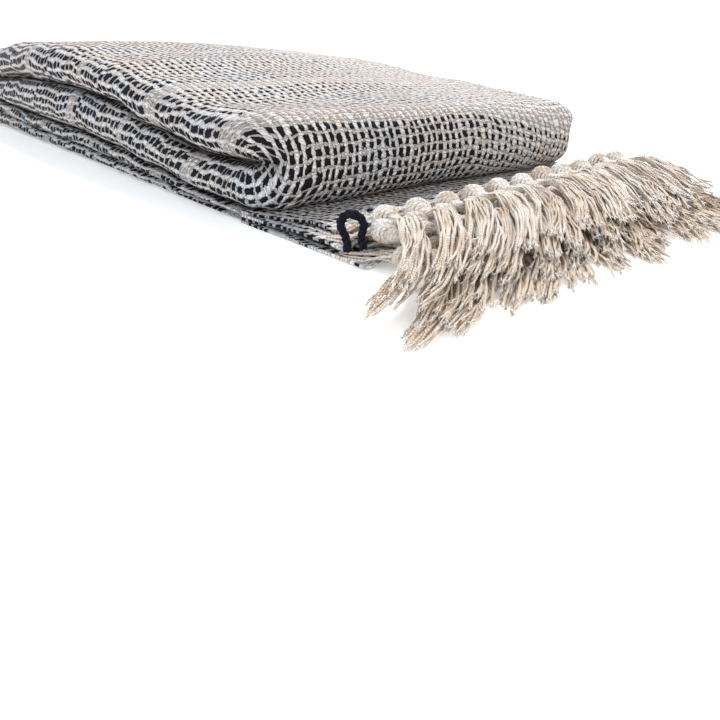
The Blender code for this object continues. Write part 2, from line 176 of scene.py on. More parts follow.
# The lips' edges lie within an all-cream stripe, in a weave that is a little tighter
HEADER_PLACE = 0.0765
HEADER_TIGHTER = 1.08
ROOT_CLOSE = 0.55
HEADER_CLOSE = 0.75
# Height of the slack of each layer of the ends, from the floor up. It begins in front of the roll
# and dies away towards the edge. Columns of its waves: a metre along x and y, depth, height
LAYER_SLACK = (0.0002, 0.0004, 0.0008, 0.0012)
SLACK_START = 0.004
SLACK_REACH = 0.018
SLACK_DEPTH = 0.012
LIP_WAVES = ((34, 28, 4.0, 1.0), (85, 60, 9.0, 0.6))

# Yarns of the tassels, and how low their middles and their loosest fibres may lie
YARN_FLOOR = 0.0006
FIBRE_FLOOR = 0.0001
YARNS_PER_LOCK = 6
YARN_RADIUS = 0.00049
STRAY_RADIUS = 0.00030
STRAY_SHARE = 0.10
# How far a yarn winds round its lock's middle, and how much it wanders, also for a stray
YARN_ROOM = 0.0009
STRAY_ROOM = 0.0019
YARN_LOOSE = 0.9
STRAY_LOOSE = 1.5
TASSEL_WANDER = 0.0040
TASSEL_WAVES = 70.0
YARN_POINTS = 17
GATHERED_YARNS = 15
GATHERED_RADIUS = 0.00047
KNOT_WRAPS = 5
WRAP_STEPS = 18
WRAP_PITCH = 0.00150
WRAP_RADIUS = 0.00080
CORE_YARNS = 3
CORE_HALF = 0.0034
CORE_REACH = 0.0011
CROSS_STEPS = 12
CROSS_PITCH = 0.00135
CROSS_RADIUS = 0.00074
TIP_FIBRES = 3
# Sections of a frayed fibre. Columns: share of its length, radius
TIP_SECTIONS = ((-0.15, 0.00026), (0.40, 0.00024), (0.75, 0.00019), (1.0, 0.00010))

# Black edge yarn: arch of the loop, its plies, the loose fibres round them
LOOP_RADIUS = 0.0041
LOOP_CENTRE = 0.0083
LOOP_FOOT = 0.0057
LOOP_TURN = math.radians(-38.0)
PLIES = 3
PLY_REACH = 0.00082
PLY_RADIUS = 0.00084
FLUFF_LENGTH = 0.0022
FLUFF_RADIUS = 0.00008
# Cut black picks that hang out of the cloth's edge. Columns: x, sideways reach, rise
BLACK_TAILS = (
    (0.0315, 0.007, 0.0035),
    (0.0330, -0.003, 0.0025),
    (0.0665, 0.005, 0.0030),
    (0.0680, -0.006, 0.0035),
    (0.0700, 0.009, 0.0020),
    (0.1190, -0.005, 0.0030),
)
TAIL_RADIUS = 0.00055

# Weave: width of a pair of warps, height of a black and cream pair of picks
WARP_PAIR_PITCH = 0.0040
PAIR_PITCH = 0.0045
# It is this much looser over the top and down the sides than round the roll, which lies between
# two places along the warp
LOOSER = 0.27
ROLL_WEAVE = (-0.045, 0.022)
# The yarns wander, over the cloth and from one crossing to the next. Columns: scale and detail of
# the noise, reach across the warps and along them
WANDERS = (
    (14.0, 1.0, 0.009, 0.009),
    (75.0, 2.0, 0.0034, 0.0034),
    (480.0, 1.0, 0.0018, 0.0016),
)
# All-cream stripes: from and to, in metres along the warp
CREAM_STRIPES = (
    (-0.262, -0.249), (-0.171, -0.162), (-0.081, -0.070), (0.0135, 0.031),
    (0.098, 0.107), (0.196, 0.204), (0.288, 0.301), (0.383, 0.391),
)
# Shares of a pair's width that its first warp and its black pick take up, and the yarns' least half
# widths within their own shares
COLUMN_SHARE = 0.51
BLACK_SHARE = 0.69
WARP_HALF = 0.30
PICK_HALF = 0.38
# How far the yarns rise and sink at the crossings, with what black picks and warps add, how high
# their round tops stand, with what black picks add, and how deep a gap lies
CRIMP = 0.00014
BLACK_CRIMP = 0.00026
WARP_CRIMP = 0.00010
WARP_ROUND = 0.00048
CREAM_ROUND = 0.00034
BLACK_ROUND = 0.00022
GAP_DEPTH = 0.0008
WARP_TWIST_LENGTH = 0.0013
PICK_TWIST_LENGTH = 0.0015

CREAM = (0.87, 0.81, 0.77, 1.0)
CREAM_WARM = (0.77, 0.66, 0.58, 1.0)
CREAM_COOL = (0.79, 0.81, 0.84, 1.0)
CREAM_SHADED = (0.40, 0.32, 0.26, 1.0)
BLACK = (0.010, 0.011, 0.019, 1.0)
BLACK_LINT = (0.042, 0.044, 0.062, 1.0)
# Painted shade in the weave: in its gaps and twist, where yarns cross, at their edges and on low warps
PAINTED_SHADE = (0.13, 0.10, 0.08, 1.0)
# Painted shade deep in the creases between the folded runs
CREASE_SHADE = (0.09, 0.065, 0.05, 1.0)

# Camera: place in the bundle's frame, way it looks in degrees, focal length in the photo's pixels
CAMERA_PLACE = (-0.1429, -0.2444, 0.0773)
CAMERA_DOWN = 25.3
CAMERA_TURN = -38.02
FOCAL_PIXELS = 709.0
PHOTO_PIXELS = 720.0
SENSOR_WIDTH = 36.0


def placed(point):
    return Vector(point) + FRAME_SHIFT


def add_object(name, data):
    item = bpy.data.objects.new(name, data)
    bpy.context.collection.objects.link(item)
    return item


def clamp(value):
    return min(max(value, 0.0), 1.0)


def smooth(value):
    value = clamp(value)
    return value * value * (3.0 - 2.0 * value)


def from_table(rows, place):
    """Values at a place, eased between the rows of a table whose first column is the place."""
    if place <= rows[0][0]:
        return rows[0][1:]
    for low, high in zip(rows, rows[1:]):
        if place <= high[0]:
            share = smooth((place - low[0]) / (high[0] - low[0]))
            return tuple(a + (b - a) * share for a, b in zip(low[1:], high[1:]))
    return rows[-1][1:]


# Shader nodes

def operation(name):
    """A method of Wire that adds one Math node."""
    def method(wire, *values):
        return wire.nodes.add("ShaderNodeMath", {"operation": name},
                              dict(enumerate((wire, *values))))
    return method


class Wire:
    """A socket of a node tree, which Python's operators work on."""

    def __init__(self, nodes, socket):
        self.nodes = nodes
        self.socket = socket

    __add__ = __radd__ = operation("ADD")
    __sub__ = operation("SUBTRACT")
    __mul__ = __rmul__ = operation("MULTIPLY")
    __truediv__ = operation("DIVIDE")
    __pow__ = operation("POWER")
    __lt__ = operation("LESS_THAN")
    __gt__ = operation("GREATER_THAN")
    floor = operation("FLOOR")
    fraction = operation("FRACT")
    size = operation("ABSOLUTE")
    root = operation("SQRT")
    sine = operation("SINE")
    cosine = operation("COSINE")
    least = operation("MINIMUM")
    most = operation("MAXIMUM")

    def __neg__(self):
        return self * -1.0

    def __rsub__(self, other):
        return -self + other

    def __rtruediv__(self, other):
        return self ** -1.0 * other

    def ease(self, low, high):
        return self.nodes.add("ShaderNodeMapRange", {"interpolation_type": "SMOOTHSTEP"},
                              {"Value": self, "From Min": low, "From Max": high})


class Nodes:
    """Adds nodes to one tree."""

    def __init__(self, tree):
        self.tree = tree

    def add(self, kind, settings=None, values=None, out=0):
        node = self.tree.nodes.new(kind)
        for name, setting in (settings or {}).items():
            setattr(node, name, setting)
        for key, value in (values or {}).items():
            if isinstance(value, Wire):
                self.tree.links.new(value.socket, node.inputs[key])
            else:
                node.inputs[key].default_value = value
        return Wire(self, node.outputs[out])

    def outputs(self, node, count):
        return [Wire(self, socket) for socket in node.outputs[:count]]

    def parts(self, vector):
        """X, Y and Z of a vector."""
        return self.outputs(self.add("ShaderNodeSeparateXYZ", None, {0: vector}).socket.node, 3)

    def vector(self, x=0.0, y=0.0, z=0.0):
        return self.add("ShaderNodeCombineXYZ", None, {0: x, 1: y, 2: z})

    def attribute(self, name, out=2):
        """A number kept on the piece, or with out=1 a vector."""
        return self.add("ShaderNodeAttribute", {"attribute_name": name}, out=out)

    def mixed(self, factor, first, second, blend="MIX"):
        return self.add("ShaderNodeMix", {"data_type": "RGBA", "blend_type": blend},
                        {0: factor, 6: first, 7: second}, out=2)

    def noise(self, place, scale, detail=2.0, roughness=0.5, out=0):
        return self.add("ShaderNodeTexNoise", None, {"Vector": place, "Scale": scale,
                                                     "Detail": detail, "Roughness": roughness}, out)

    def yarn_noise(self, x, y, z, detail=1.0, scale=1.0):
        """Noise that steps from yarn to yarn where x or y is a yarn's number."""
        return self.noise(self.vector(x, y, z), scale, detail)


def new_material(name):
    material = bpy.data.materials.new(name)
    material.use_nodes = True
    shader = material.node_tree.nodes["Principled BSDF"]
    return material, Nodes(material.node_tree), shader


def set_values(shader, **values):
    for name, value in values.items():
        shader.inputs[name.replace("_", " ")].default_value = value


def finish_cotton(nodes, shader, colour, relief, sheen):
    """Matt cotton with a colour and a relief in metres."""
    normal = nodes.add("ShaderNodeBump", None, {"Strength": 1.0, "Distance": 1.0, "Height": relief})
    nodes.tree.links.new(colour.socket, shader.inputs["Base Color"])
    nodes.tree.links.new(normal.socket, shader.inputs["Normal"])
    set_values(shader, Roughness=0.92, Specular_IOR_Level=0.12, Sheen_Weight=sheen,
               Sheen_Roughness=0.6)


def evened(along):
    """Place along the warp, drawn together where the weave is looser."""
    before, after = min(along - ROLL_WEAVE[0], 0.0), max(along - ROLL_WEAVE[1], 0.0)
    return along - LOOSER * (before + after)


def yarn_pair(place, first_share):
    """Number of a pair of yarns, masks of its two yarns, and the place across each, 0 midway."""
    share = place.fraction()
    first = share < first_share
    second = 1.0 - first
    side = (first * (share / first_share - 0.5)
            + second * ((share - first_share) / (1.0 - first_share) - 0.5))
    return place.floor(), first, second, side


def round_yarn(side, width):
    """How high a round yarn stands across its width, and a mask of where it lies."""
    return (1.0 - (side / width) ** 2.0).most(0.0).root(), side.size() < width


def pulled_weave(nodes, uv):
    """Places across and along the weave, and how closely the cream yarns hide the black."""
    across, along, _ = nodes.parts(uv)
    # The cloth is pulled askew towards the right end of the roll and over the left side
    along = along + across.ease(0.10, 0.21) * 0.014 - across.ease(0.012, -0.008) * 0.012
    along = along - ((along - ROLL_WEAVE[0]).least(0.0) + (along - ROLL_WEAVE[1]).most(0.0)) * LOOSER
    # The yarns lie closer to the right, less so to the left and down the left side
    close = nodes.attribute("close")
    close = close + across.ease(0.09, 0.17) * 1.30 - across.ease(0.070, 0.010) * 0.25
    patchy = nodes.noise(uv, 32.0).ease(0.35, 0.65) - 0.5
    close = close + patchy * 0.30 - across.ease(0.008, -0.006) * 0.20
    # Down both sides the warps lie further apart
    sides = (across - 0.006).least(0.0) + (across - 0.207).most(0.0)
    return across * 0.93 - sides * 0.22, along, close


def laid_yarns(nodes, uv, across, along, close):
    """Number, masks of its two yarns, and place across them, for pairs of warps and of picks."""
    warp_place, pair_place = across, along
    for scale, detail, reach_across, reach_along in WANDERS:
        aside, onward, _ = nodes.parts(nodes.noise(uv, scale, detail, out=1))
        warp_place = warp_place + (aside - 0.5) * reach_across
        pair_place = pair_place + (onward - 0.5) * reach_along
    warp_place = warp_place / WARP_PAIR_PITCH
    pair_place = pair_place / PAIR_PITCH
    row_shift = nodes.yarn_noise(across * 210.0, pair_place.floor() * 3.1, 7.0, 0.0)
    # Now and then the picks shift over by one warp
    slip = nodes.add("ShaderNodeTexWhiteNoise", {"noise_dimensions": "1D"},
                     {"W": (pair_place / 7.0).floor()})
    warp_place = warp_place + (row_shift - 0.5) * 0.62 + (slip > 0.60) * 0.5
    number, column, between, side = yarn_pair(warp_place, COLUMN_SHARE + close * 0.13)
    number = number * 2.0 + between
    shift = nodes.yarn_noise(number * 5.1, along * 160.0, 0.0, 0.0)
    pair_place = pair_place + (shift - 0.5) * 0.80
    return (number, column, between, side), yarn_pair(pair_place, BLACK_SHARE - close * 0.20)


def in_cream_stripe(pair_number):
    """A mask of the all-cream stripes, by the number of a pair of picks."""
    stripe = None
    middle = (pair_number + 0.5) * PAIR_PITCH
    for start, end in CREAM_STRIPES:
        inside = (middle > evened(start)) * (middle < evened(end))
        stripe = inside if stripe is None else stripe + inside
    return stripe


def woven_cotton():
    """Open plain weave: thin cream warp, thick black picks between thin cream ones."""
    material, nodes, shader = new_material("woven_cotton")
    uv = nodes.add("ShaderNodeUVMap", {"uv_map": "weave"})
    across, along, close = pulled_weave(nodes, uv)
    warps, picks = laid_yarns(nodes, uv, across, along, close)
    warp_number, column, _, warp_side = warps
    pair_number, black_pick, cream_pick, pick_side = picks
    # Of each pair of warps one lies over the black picks, the other over the cream ones
    over = (column * 2.0 - 1.0) * (black_pick * 2.0 - 1.0)

    swell = nodes.yarn_noise(warp_number * 3.7, along * 330.0, 0.0)
    pick_swell = nodes.yarn_noise(across * 330.0, pair_number * 5.3, 4.0)
    # Loose fibres make the yarns' edges ragged
    ragged = nodes.noise(uv, 1300.0, 2.0, 0.7) - 0.5
    warp_width = WARP_HALF + swell * 0.22 + column * 0.08 + ragged * 0.34
    pick_width = PICK_HALF + pick_swell * 0.22 + ragged * 0.24
    warp_round, warp_there = round_yarn(warp_side, warp_width)
    pick_round, pick_there = round_yarn(pick_side, pick_width)

    lift = CRIMP + black_pick * BLACK_CRIMP
    crimp_warp = over * (pick_side * math.pi).cosine() * (WARP_CRIMP + lift)
    crimp_pick = over * (warp_side * math.pi).cosine() * -lift
    warp_height = ((crimp_warp + warp_round * WARP_ROUND) * warp_there
                   - (1.0 - warp_there) * GAP_DEPTH)
    pick_height = ((crimp_pick + pick_round * (CREAM_ROUND + black_pick * BLACK_ROUND)) * pick_there
                   - (1.0 - pick_there) * GAP_DEPTH)
    warp_shows = warp_height > pick_height
    pick_shows = 1.0 - warp_shows
    height = warp_height.most(pick_height)

    # Two-ply twist along each yarn
    warp_twist = ((along / WARP_TWIST_LENGTH + warp_side * 1.1 + warp_number * 0.37)
                  * (2 * math.pi)).sine()
    pick_twist = ((across / PICK_TWIST_LENGTH + pick_side * 0.9 + pair_number * 0.53)
                  * (2 * math.pi)).sine()
    twist = warp_shows * warp_twist + pick_shows * pick_twist
    rounding = warp_shows * warp_round + pick_shows * pick_round
    crossing_shade = 1.0 - (warp_height - pick_height).size().ease(0.0, 0.00022)
    fuzz = nodes.noise(uv, 2600.0, 2.0, 0.6)
    relief = height * 3.0 + twist * 0.00013 + (fuzz - 0.5) * 0.00044

    stripe = in_cream_stripe(pair_number)
    black = pick_shows * black_pick * (1.0 - stripe)

    tone = nodes.noise(uv, 26.0, 3.0)
    lint = nodes.noise(uv, 1500.0, 2.0, 0.7)
    yarn_tone = nodes.yarn_noise(warp_number, pair_number, 2.0, scale=0.73)
    cream = nodes.mixed(tone.ease(0.42, 0.70), CREAM, CREAM_COOL)
    cream = nodes.mixed(yarn_tone.ease(0.45, 0.75) * 0.6, cream, CREAM_WARM)
    dark = nodes.mixed(lint.ease(0.52, 0.80), BLACK, BLACK_LINT)
    # In the stripes two cream picks lie in place of each black one, in painted shade that is deepest
    # between them
    double = (pick_side * (4 * math.pi)).cosine().ease(0.3, -0.9)
    shaded = pick_shows * black_pick * stripe * (0.25 + double * 0.6)
    cream = nodes.mixed(shaded, cream, CREAM_SHADED)
    # Painted shade on the warps that show over the cream picks, where they lie low between the columns
    cream = nodes.mixed(warp_shows * cream_pick * 0.35, cream, PAINTED_SHADE, "MULTIPLY")
    colour = nodes.mixed(black, cream, dark)
    # Painted shade in the twist, where yarns cross, at their edges and in the gaps
    for shade in (twist.ease(0.3, -0.9) * 0.34, crossing_shade * 0.35, rounding.ease(0.85, 0.15) * 0.55,
                  height.ease(0.00034, -0.00030) * 0.85):
        colour = nodes.mixed(shade, colour, PAINTED_SHADE, "MULTIPLY")
    # Painted shade deep in the creases, where hardly any light comes back out
    colour = nodes.mixed(nodes.attribute("crease") * 0.95, colour, CREASE_SHADE, "MULTIPLY")
    finish_cotton(nodes, shader, colour, relief, 0.0)
    return material


def spun_yarn(name, light, shade, deep, twist_length, sheen):
    """Two-ply yarn, coloured between a lit tone and tones of painted shade. The piece's twist
    attribute holds where a point is round and along it.
    """
    material, nodes, shader = new_material(name)
    cosine, sine, along = nodes.parts(nodes.attribute("twist", 1))
    turn = along * (2 * math.pi / twist_length)
    spiral = (turn.cosine() * cosine + turn.sine() * sine) * 2.0
    groove = (spiral * spiral - 1.0) * 0.5
    ground = nodes.add("ShaderNodeTexCoord", out=3)
    tone = nodes.noise(ground, 120.0, 3.0)
    patch = nodes.noise(ground, 45.0)
    fibre = nodes.noise(ground, 2400.0, 2.0, 0.65)
    height = nodes.parts(ground)[2]
    # Painted shade: the loose yarns, and those low down, lean to the shade tone, as they lie in one
    # another's shade
    low = height.ease(0.012, 0.003) * 0.45 + nodes.attribute("loose").ease(0.0, 0.8) * 0.40
    colour = nodes.mixed((tone.ease(0.44, 0.70) + low).least(1.0), light, shade)
    colour = nodes.mixed(patch.ease(0.45, 0.75) * 0.42, colour, deep)
    # Painted shade in the grooves between the plies
    colour = nodes.mixed(groove.ease(0.1, -0.5) * 0.45, colour, deep, "MULTIPLY")
    # The frayed ends are brushed out and paler, painted in the lit tone and so out of the painted
    # shade low down
    colour = nodes.mixed((along < 0.0) * 0.60, colour, light)
    relief = groove.most(-0.5) * 0.00014 + (fibre - 0.5) * 0.00020
    finish_cotton(nodes, shader, colour, relief, sheen)
    return material


WOVEN = woven_cotton()
FRINGE = spun_yarn("fringe_yarn", (0.89, 0.86, 0.82, 1.0), (0.66, 0.54, 0.415, 1.0),
                   (0.56, 0.38, 0.25, 1.0), 0.0034, 0.25)
BLACK_YARN = spun_yarn("black_edge_yarn", (0.010, 0.010, 0.018, 1.0), (0.020, 0.020, 0.032, 1.0),
                       (0.005, 0.005, 0.009, 1.0), 0.006, 0.0)


# Shape of the folded bundle

def heights(x, y):
    """Heights of the four borders at a place, the last one being the top."""
    left, right = from_table(LEFT_HEIGHTS, y), from_table(RIGHT_HEIGHTS, y)
    borders = [a + (b - a) * clamp(x / WIDTH) for a, b in zip(left, right)]
    for centre_x, centre_y, reach_x, reach_y, height in TOP_SWELLS:
        square = ((x - centre_x) / reach_x) ** 2 + ((y - centre_y) / reach_y) ** 2
        borders[3] += height * math.exp(-square)
    return borders


def outline():
    """Points round the bundle: place, way in, and share of each side's profile."""
    centres = {
        "near_left": Vector((CORNER, CORNER)),
        "near_right": Vector((WIDTH - CORNER, CORNER)),
        "far_right": Vector((WIDTH - CORNER, LENGTH - CORNER)),
        "far_left": Vector((CORNER, LENGTH - CORNER)),
    }
    # Columns: corners it joins, way it faces in degrees, steps, its name and its neighbours'
    sides = (
        ("near_left", "near_right", 270, FRONT_STEPS, "front", "left", "right"),
        ("near_right", "far_right", 0, SIDE_STEPS, "right", "front", "back"),
        ("far_right", "far_left", 90, FRONT_STEPS, "back", "right", "left"),
        ("far_left", "near_left", 180, SIDE_STEPS, "left", "back", "front"),
    )
    ring = []
    for first, last, facing, steps, side, before, after in sides:
        straight = steps - 2 * CORNER_STEPS
        for step in range(steps):
            share = {side: 1.0}
            if step < CORNER_STEPS:
                turn = step / CORNER_STEPS
                centre, angle = centres[first], facing - 45 + 45 * turn
                weight = 0.5 + 0.5 * smooth(turn)
                share = {side: weight, before: 1.0 - weight}
            elif step > steps - CORNER_STEPS:
                turn = (step - steps + CORNER_STEPS) / CORNER_STEPS
                centre, angle = centres[last], facing + 45 * turn
                weight = 1.0 - 0.5 * smooth(turn)
                share = {side: weight, after: 1.0 - weight}
            else:
                along = (step - CORNER_STEPS) / straight
                centre, angle = centres[first].lerp(centres[last], along), facing
            out = Vector((math.cos(math.radians(angle)), math.sin(math.radians(angle))))
            ring.append((centre + out * CORNER, -out, share))
    return ring


def run_point(reach, setback, low, high, angle):
    """How far in a point of a folded run lies, the borders it lies between, and how high."""
    turn = math.radians(angle)
    return setback + reach * (1 - math.cos(turn)), low, high, math.sin(turn)


def two_runs(side, place, lower, upper):
    """Profile of two folded runs of a side, one on the other, the lower one from place 0.

    A run is its name, the border under it, the border over it, and its angles in degrees."""
    setback = LEFT_SETBACK if side == "left" else RIGHT_SETBACK
    upper_start = len(lower[3])
    share = clamp(place - upper_start + 1)
    profile = []
    for weight, start, (name, low, high, angles) in ((1.0 - share, 0, lower),
                                                     (share, upper_start, upper)):
        along = min(max(place - start, 0.0), len(angles) - 1.0)
        step = min(int(along), len(angles) - 2)
        angle = angles[step] + (angles[step + 1] - angles[step]) * (along - step)
        profile.append((weight, run_point(RUN_REACH[name], setback[name], low, high, angle)))
    return profile


def stretch_profile(side, place):
    """Profile of the top stretch at a place from its rim to where the top begins."""
    if side == "front":
        return [(1.0, run_point(ROLL_REACH, 0.0, 2, 4, -90 + 180 * place / STRETCH_PLACES))]
    if side == "back":
        return [(1.0, run_point(BACK_REACH, 0.0, 0, 4, -70 + 160 * place / STRETCH_PLACES))]
    return two_runs(side, place, ("under", 2, 3, UNDER_ANGLES), ("top", 3, 4, TOP_ANGLES))


def edge_profile(side, place):
    """Profile of the ends' edges at a place from the floor to under the top stretch."""
    if side == "back":
        return [(1.0, run_point(BACK_REACH, 0.0, 0, 4, -90 + 16 * place / EDGE_PLACES))]
    return two_runs(side, place, ("lower", 0, 1, LAYER_ANGLES), ("upper", 1, 2, LAYER_ANGLES))


def recessed(base, share):
    """Shares of the sides where the front's profile is left to the nearer side."""
    side = "left" if base.x < WIDTH / 2 else "right"
    shares = {}
    for name, weight in share.items():
        name = side if name == "front" else name
        shares[name] = shares.get(name, 0.0) + weight
    return shares


def recess_place(base, inward, inset):
    """The ends' edges stop in one straight line under the roll."""
    turned = math.asin(clamp(inward.y)) / (math.pi / 2)
    aside = inset + (CORNER - inset) * turned
    if turned > 0.99:
        return Vector((base.x, RECESS))
    return Vector((aside if base.x < WIDTH / 2 else WIDTH - aside, RECESS))


def profile_point(base, inward, share, profile, place, at_recess):
    if at_recess:
        share = recessed(base, share)
    parts = [(weight * part, *point) for side, weight in share.items()
             for part, point in profile(side, place)]
    inset = sum(weight * point_inset for weight, point_inset, *_ in parts)
    spot = base + inward * inset
    if at_recess and base.y < CORNER + GAP:
        spot = recess_place(base, inward, inset)
    borders = [0.0] + heights(spot.x, spot.y)
    z = 0.0
    for weight, _, low, high, rise in parts:
        z += weight * ((borders[low] + borders[high]) / 2 + (borders[high] - borders[low]) / 2 * rise)
    return Vector((spot.x, spot.y, z))


def ring_faces(first, second, count):
    return [(first + step, first + (step + 1) % count,
             second + (step + 1) % count, second + step) for step in range(count)]


def side_rows(ring, places, profile, at_recess):
    """Points round the bundle in a row for each place up its sides, and the faces between."""
    count = len(ring)
    points = [profile_point(*spot, profile, place, at_recess) for place in places for spot in ring]
    faces = []
    for row in range(len(places) - 1):
        faces += ring_faces(row * count, (row + 1) * count, count)
    return points, faces


def crease_depth(ring, places, creases):
    """Depth in the creases at the sides, row by row, which sets the shade painted there."""
    depth = []
    for place in places:
        near = max(1.0 - smooth(abs(place - middle) / reach) for middle, reach in creases)
        depth += [near * (share.get("left", 0.0) + share.get("right", 0.0))
                  for _, _, share in ring]
    return depth


def build_mesh(name, points, faces, weave, patches, close, crease):
    """A woven mesh with its weave map in metres. Patches hold the map of single corners of faces,
    close tells how closely the cream yarns lie at each point, and crease how deep in a crease it lies,
    which sets the shade painted there."""
    mesh = bpy.data.meshes.new(name)
    mesh.from_pydata([tuple(placed(point)) for point in points], [], faces)
    values = []
    for number, face in enumerate(faces):
        for vertex in face:
            values += patches.get((number, vertex), weave[vertex])
    mesh.uv_layers.new(name="weave").data.foreach_set("uv", values)
    crease = crease + [0.0] * (len(points) - len(crease))
    for key, depths in (("close", close), ("crease", crease)):
        mesh.attributes.new(key, "FLOAT", "POINT").data.foreach_set("value", depths)
    mesh.shade_smooth()
    mesh.materials.append(WOVEN)
    return add_object(name, mesh)


def add_wall(piece, thickness):
    wall = piece.modifiers.new("wall", "SOLIDIFY")
    wall.thickness = thickness
    wall.offset = -1.0


# Map of the top cloth's weave

def bend(spot, behind):
    """Turn from the top at a place: positive round the roll, negative down the back fold."""
    if spot.y < ROLL_REACH:
        return math.atan2(ROLL_REACH - spot.y, spot.z - heights(spot.x, ROLL_REACH)[2])
    if behind:
        axis = heights(spot.x, LENGTH - BACK_REACH)[3] / 2
        return -math.atan2(max(spot.y - LENGTH + BACK_REACH, 0.0), spot.z - axis)
    return None


def warp_way(spot, place, behind):
    """Way that the warp runs at a place: along the runs, and round the roll and the back fold."""
    turn = bend(spot, behind)
    if turn is None:
        return Vector((0.0, 1.0 if place > NOTCH_PLACE else -1.0, 0.0))
    return Vector((0.0, math.cos(turn), math.sin(turn)))


def warp_start(spot, place, behind):
    """Rough place along the warp, which `follow` then settles."""
    turn = bend(spot, behind)
    if turn is None:
        return spot.y if place > NOTCH_PLACE else -spot.y
    if turn > 0.0:
        return ROLL_REACH - ROLL_RADIUS * turn
    return LENGTH - BACK_REACH - BACK_RADIUS * turn


def follow(points, triangles, ways, values):
    """Values over a surface whose slope is as near the given ways as it can be.

    The conjugate gradient method on the surface's triangles, from the first values given.
    """
    corners = points[triangles]
    sides = corners[:, (2, 0, 1)] - corners[:, (1, 2, 0)]
    normals = np.cross(sides[:, 2], -sides[:, 1])
    double = np.linalg.norm(normals, axis=1)
    normals /= double[:, None]
    slopes = np.cross(normals[:, None, :], sides) / double[:, None, None]
    area = double / 2
    flat = triangles.ravel()

    def gathered(per_triangle):
        shares = np.einsum("tij,tj->ti", slopes, per_triangle) * area[:, None]
        return np.bincount(flat, shares.ravel(), len(points))

    def spread(field):
        return gathered(np.einsum("tij,ti->tj", slopes, field[triangles]))

    weights = np.einsum("tij,tij->ti", slopes, slopes) * area[:, None]
    weights = np.bincount(flat, weights.ravel(), len(points))
    weights[weights == 0.0] = 1.0
    rest = gathered(ways) - spread(values)
    eased = rest / weights
    way = eased.copy()
    size = rest @ eased
    for _ in range(FOLLOW_STEPS):
        pushed = spread(way)
        step = size / (way @ pushed)
        values = values + step * way
        rest = rest - step * pushed
        eased = rest / weights
        before, size = size, rest @ eased
        way = eased + (size / before) * way
    return values


def stretch_place(row):
    """Place up the top stretch's profile of a row of its points, or between two rows."""
    return STRETCH_PLACES * row / (STRETCH_ROWS - 1)


def weave_map(points, faces, row_faces, ring):
    """Map of the top cloth's weave, and the corners that are mapped on their own at its cuts.

    The cuts run along the notch between the two runs, and up the two far corners below it."""
    count = len(ring)
    back = range(FRONT_STEPS + SIDE_STEPS, 2 * FRONT_STEPS + SIDE_STEPS)
    far_right, far_left = back[0] - 1, back[-1] + 1
    coordinates = np.array([tuple(point) for point in points])
    triangles, ways, cut = [], [], {}
    for number, face in enumerate(faces):
        middle = Vector(coordinates[list(face)].mean(axis=0))
        normal = (points[face[1]] - points[face[0]]).cross(points[face[3]] - points[face[0]])
        normal.normalize()
        place, behind = stretch_place(STRETCH_ROWS - 1), False
        if number < row_faces:
            row, step = divmod(number, count)
            place, behind = stretch_place(row + 0.5), step in back
            at_notch = abs(place - NOTCH_PLACE) < stretch_place(0.5) and middle.y > ROLL_REACH
            if at_notch and not behind:
                cut[number] = (count, 0)
                continue
            if place < NOTCH_PLACE and step in (far_right, far_left):
                cut[number] = (0, -1 if step == far_right else 1)
                continue
        way = warp_way(middle, place, behind)
        way = (way - normal * way.dot(normal)).normalized()
        triangles += [(face[0], face[1], face[2]), (face[0], face[2], face[3])]
        ways += [way, way]
    triangles = np.array(triangles)
    warp_ways = np.array([tuple(way) for way in ways])
    corners = coordinates[triangles]
    normals = np.cross(corners[:, 1] - corners[:, 0], corners[:, 2] - corners[:, 0])
    normals /= np.linalg.norm(normals, axis=1)[:, None]
    weft_ways = np.cross(warp_ways, normals)
    start = [warp_start(spot, stretch_place(number // count), number % count in back)
             for number, spot in enumerate(points)]
    across = follow(coordinates, triangles, weft_ways, coordinates[:, 0].copy())
    along = follow(coordinates, triangles, warp_ways, np.array(start))
    top = slice(count * STRETCH_ROWS, None)
    across += (coordinates[top, 0] - across[top]).mean()
    along += (coordinates[top, 1] - along[top]).mean()
    weave = list(zip(across.tolist(), along.tolist()))
    # A cut face carries on the map of its neighbour on one side, as two points there give it
    patches = {}
    for number, (over, aside) in cut.items():
        row, step = divmod(number, count)
        for vertex in faces[number]:
            below = over and vertex < (row + 1) * count
            outside = aside and (vertex % count == step) == (aside == 1)
            if below or outside:
                onward = over or aside
                patches[(number, vertex)] = tuple(
                    2 * a - b for a, b in zip(weave[vertex + onward], weave[vertex + 2 * onward]))
    return weave, patches


# Woven pieces

def cloth_relief(point):
    """Slack of the folded cloth at a place, out along its normal."""
    return sum(height * noise.noise(Vector([at * wave + start
                                            for at, wave, start in zip(point, waves, starts)]))
               for waves, starts, height in SLACK_WAVES)


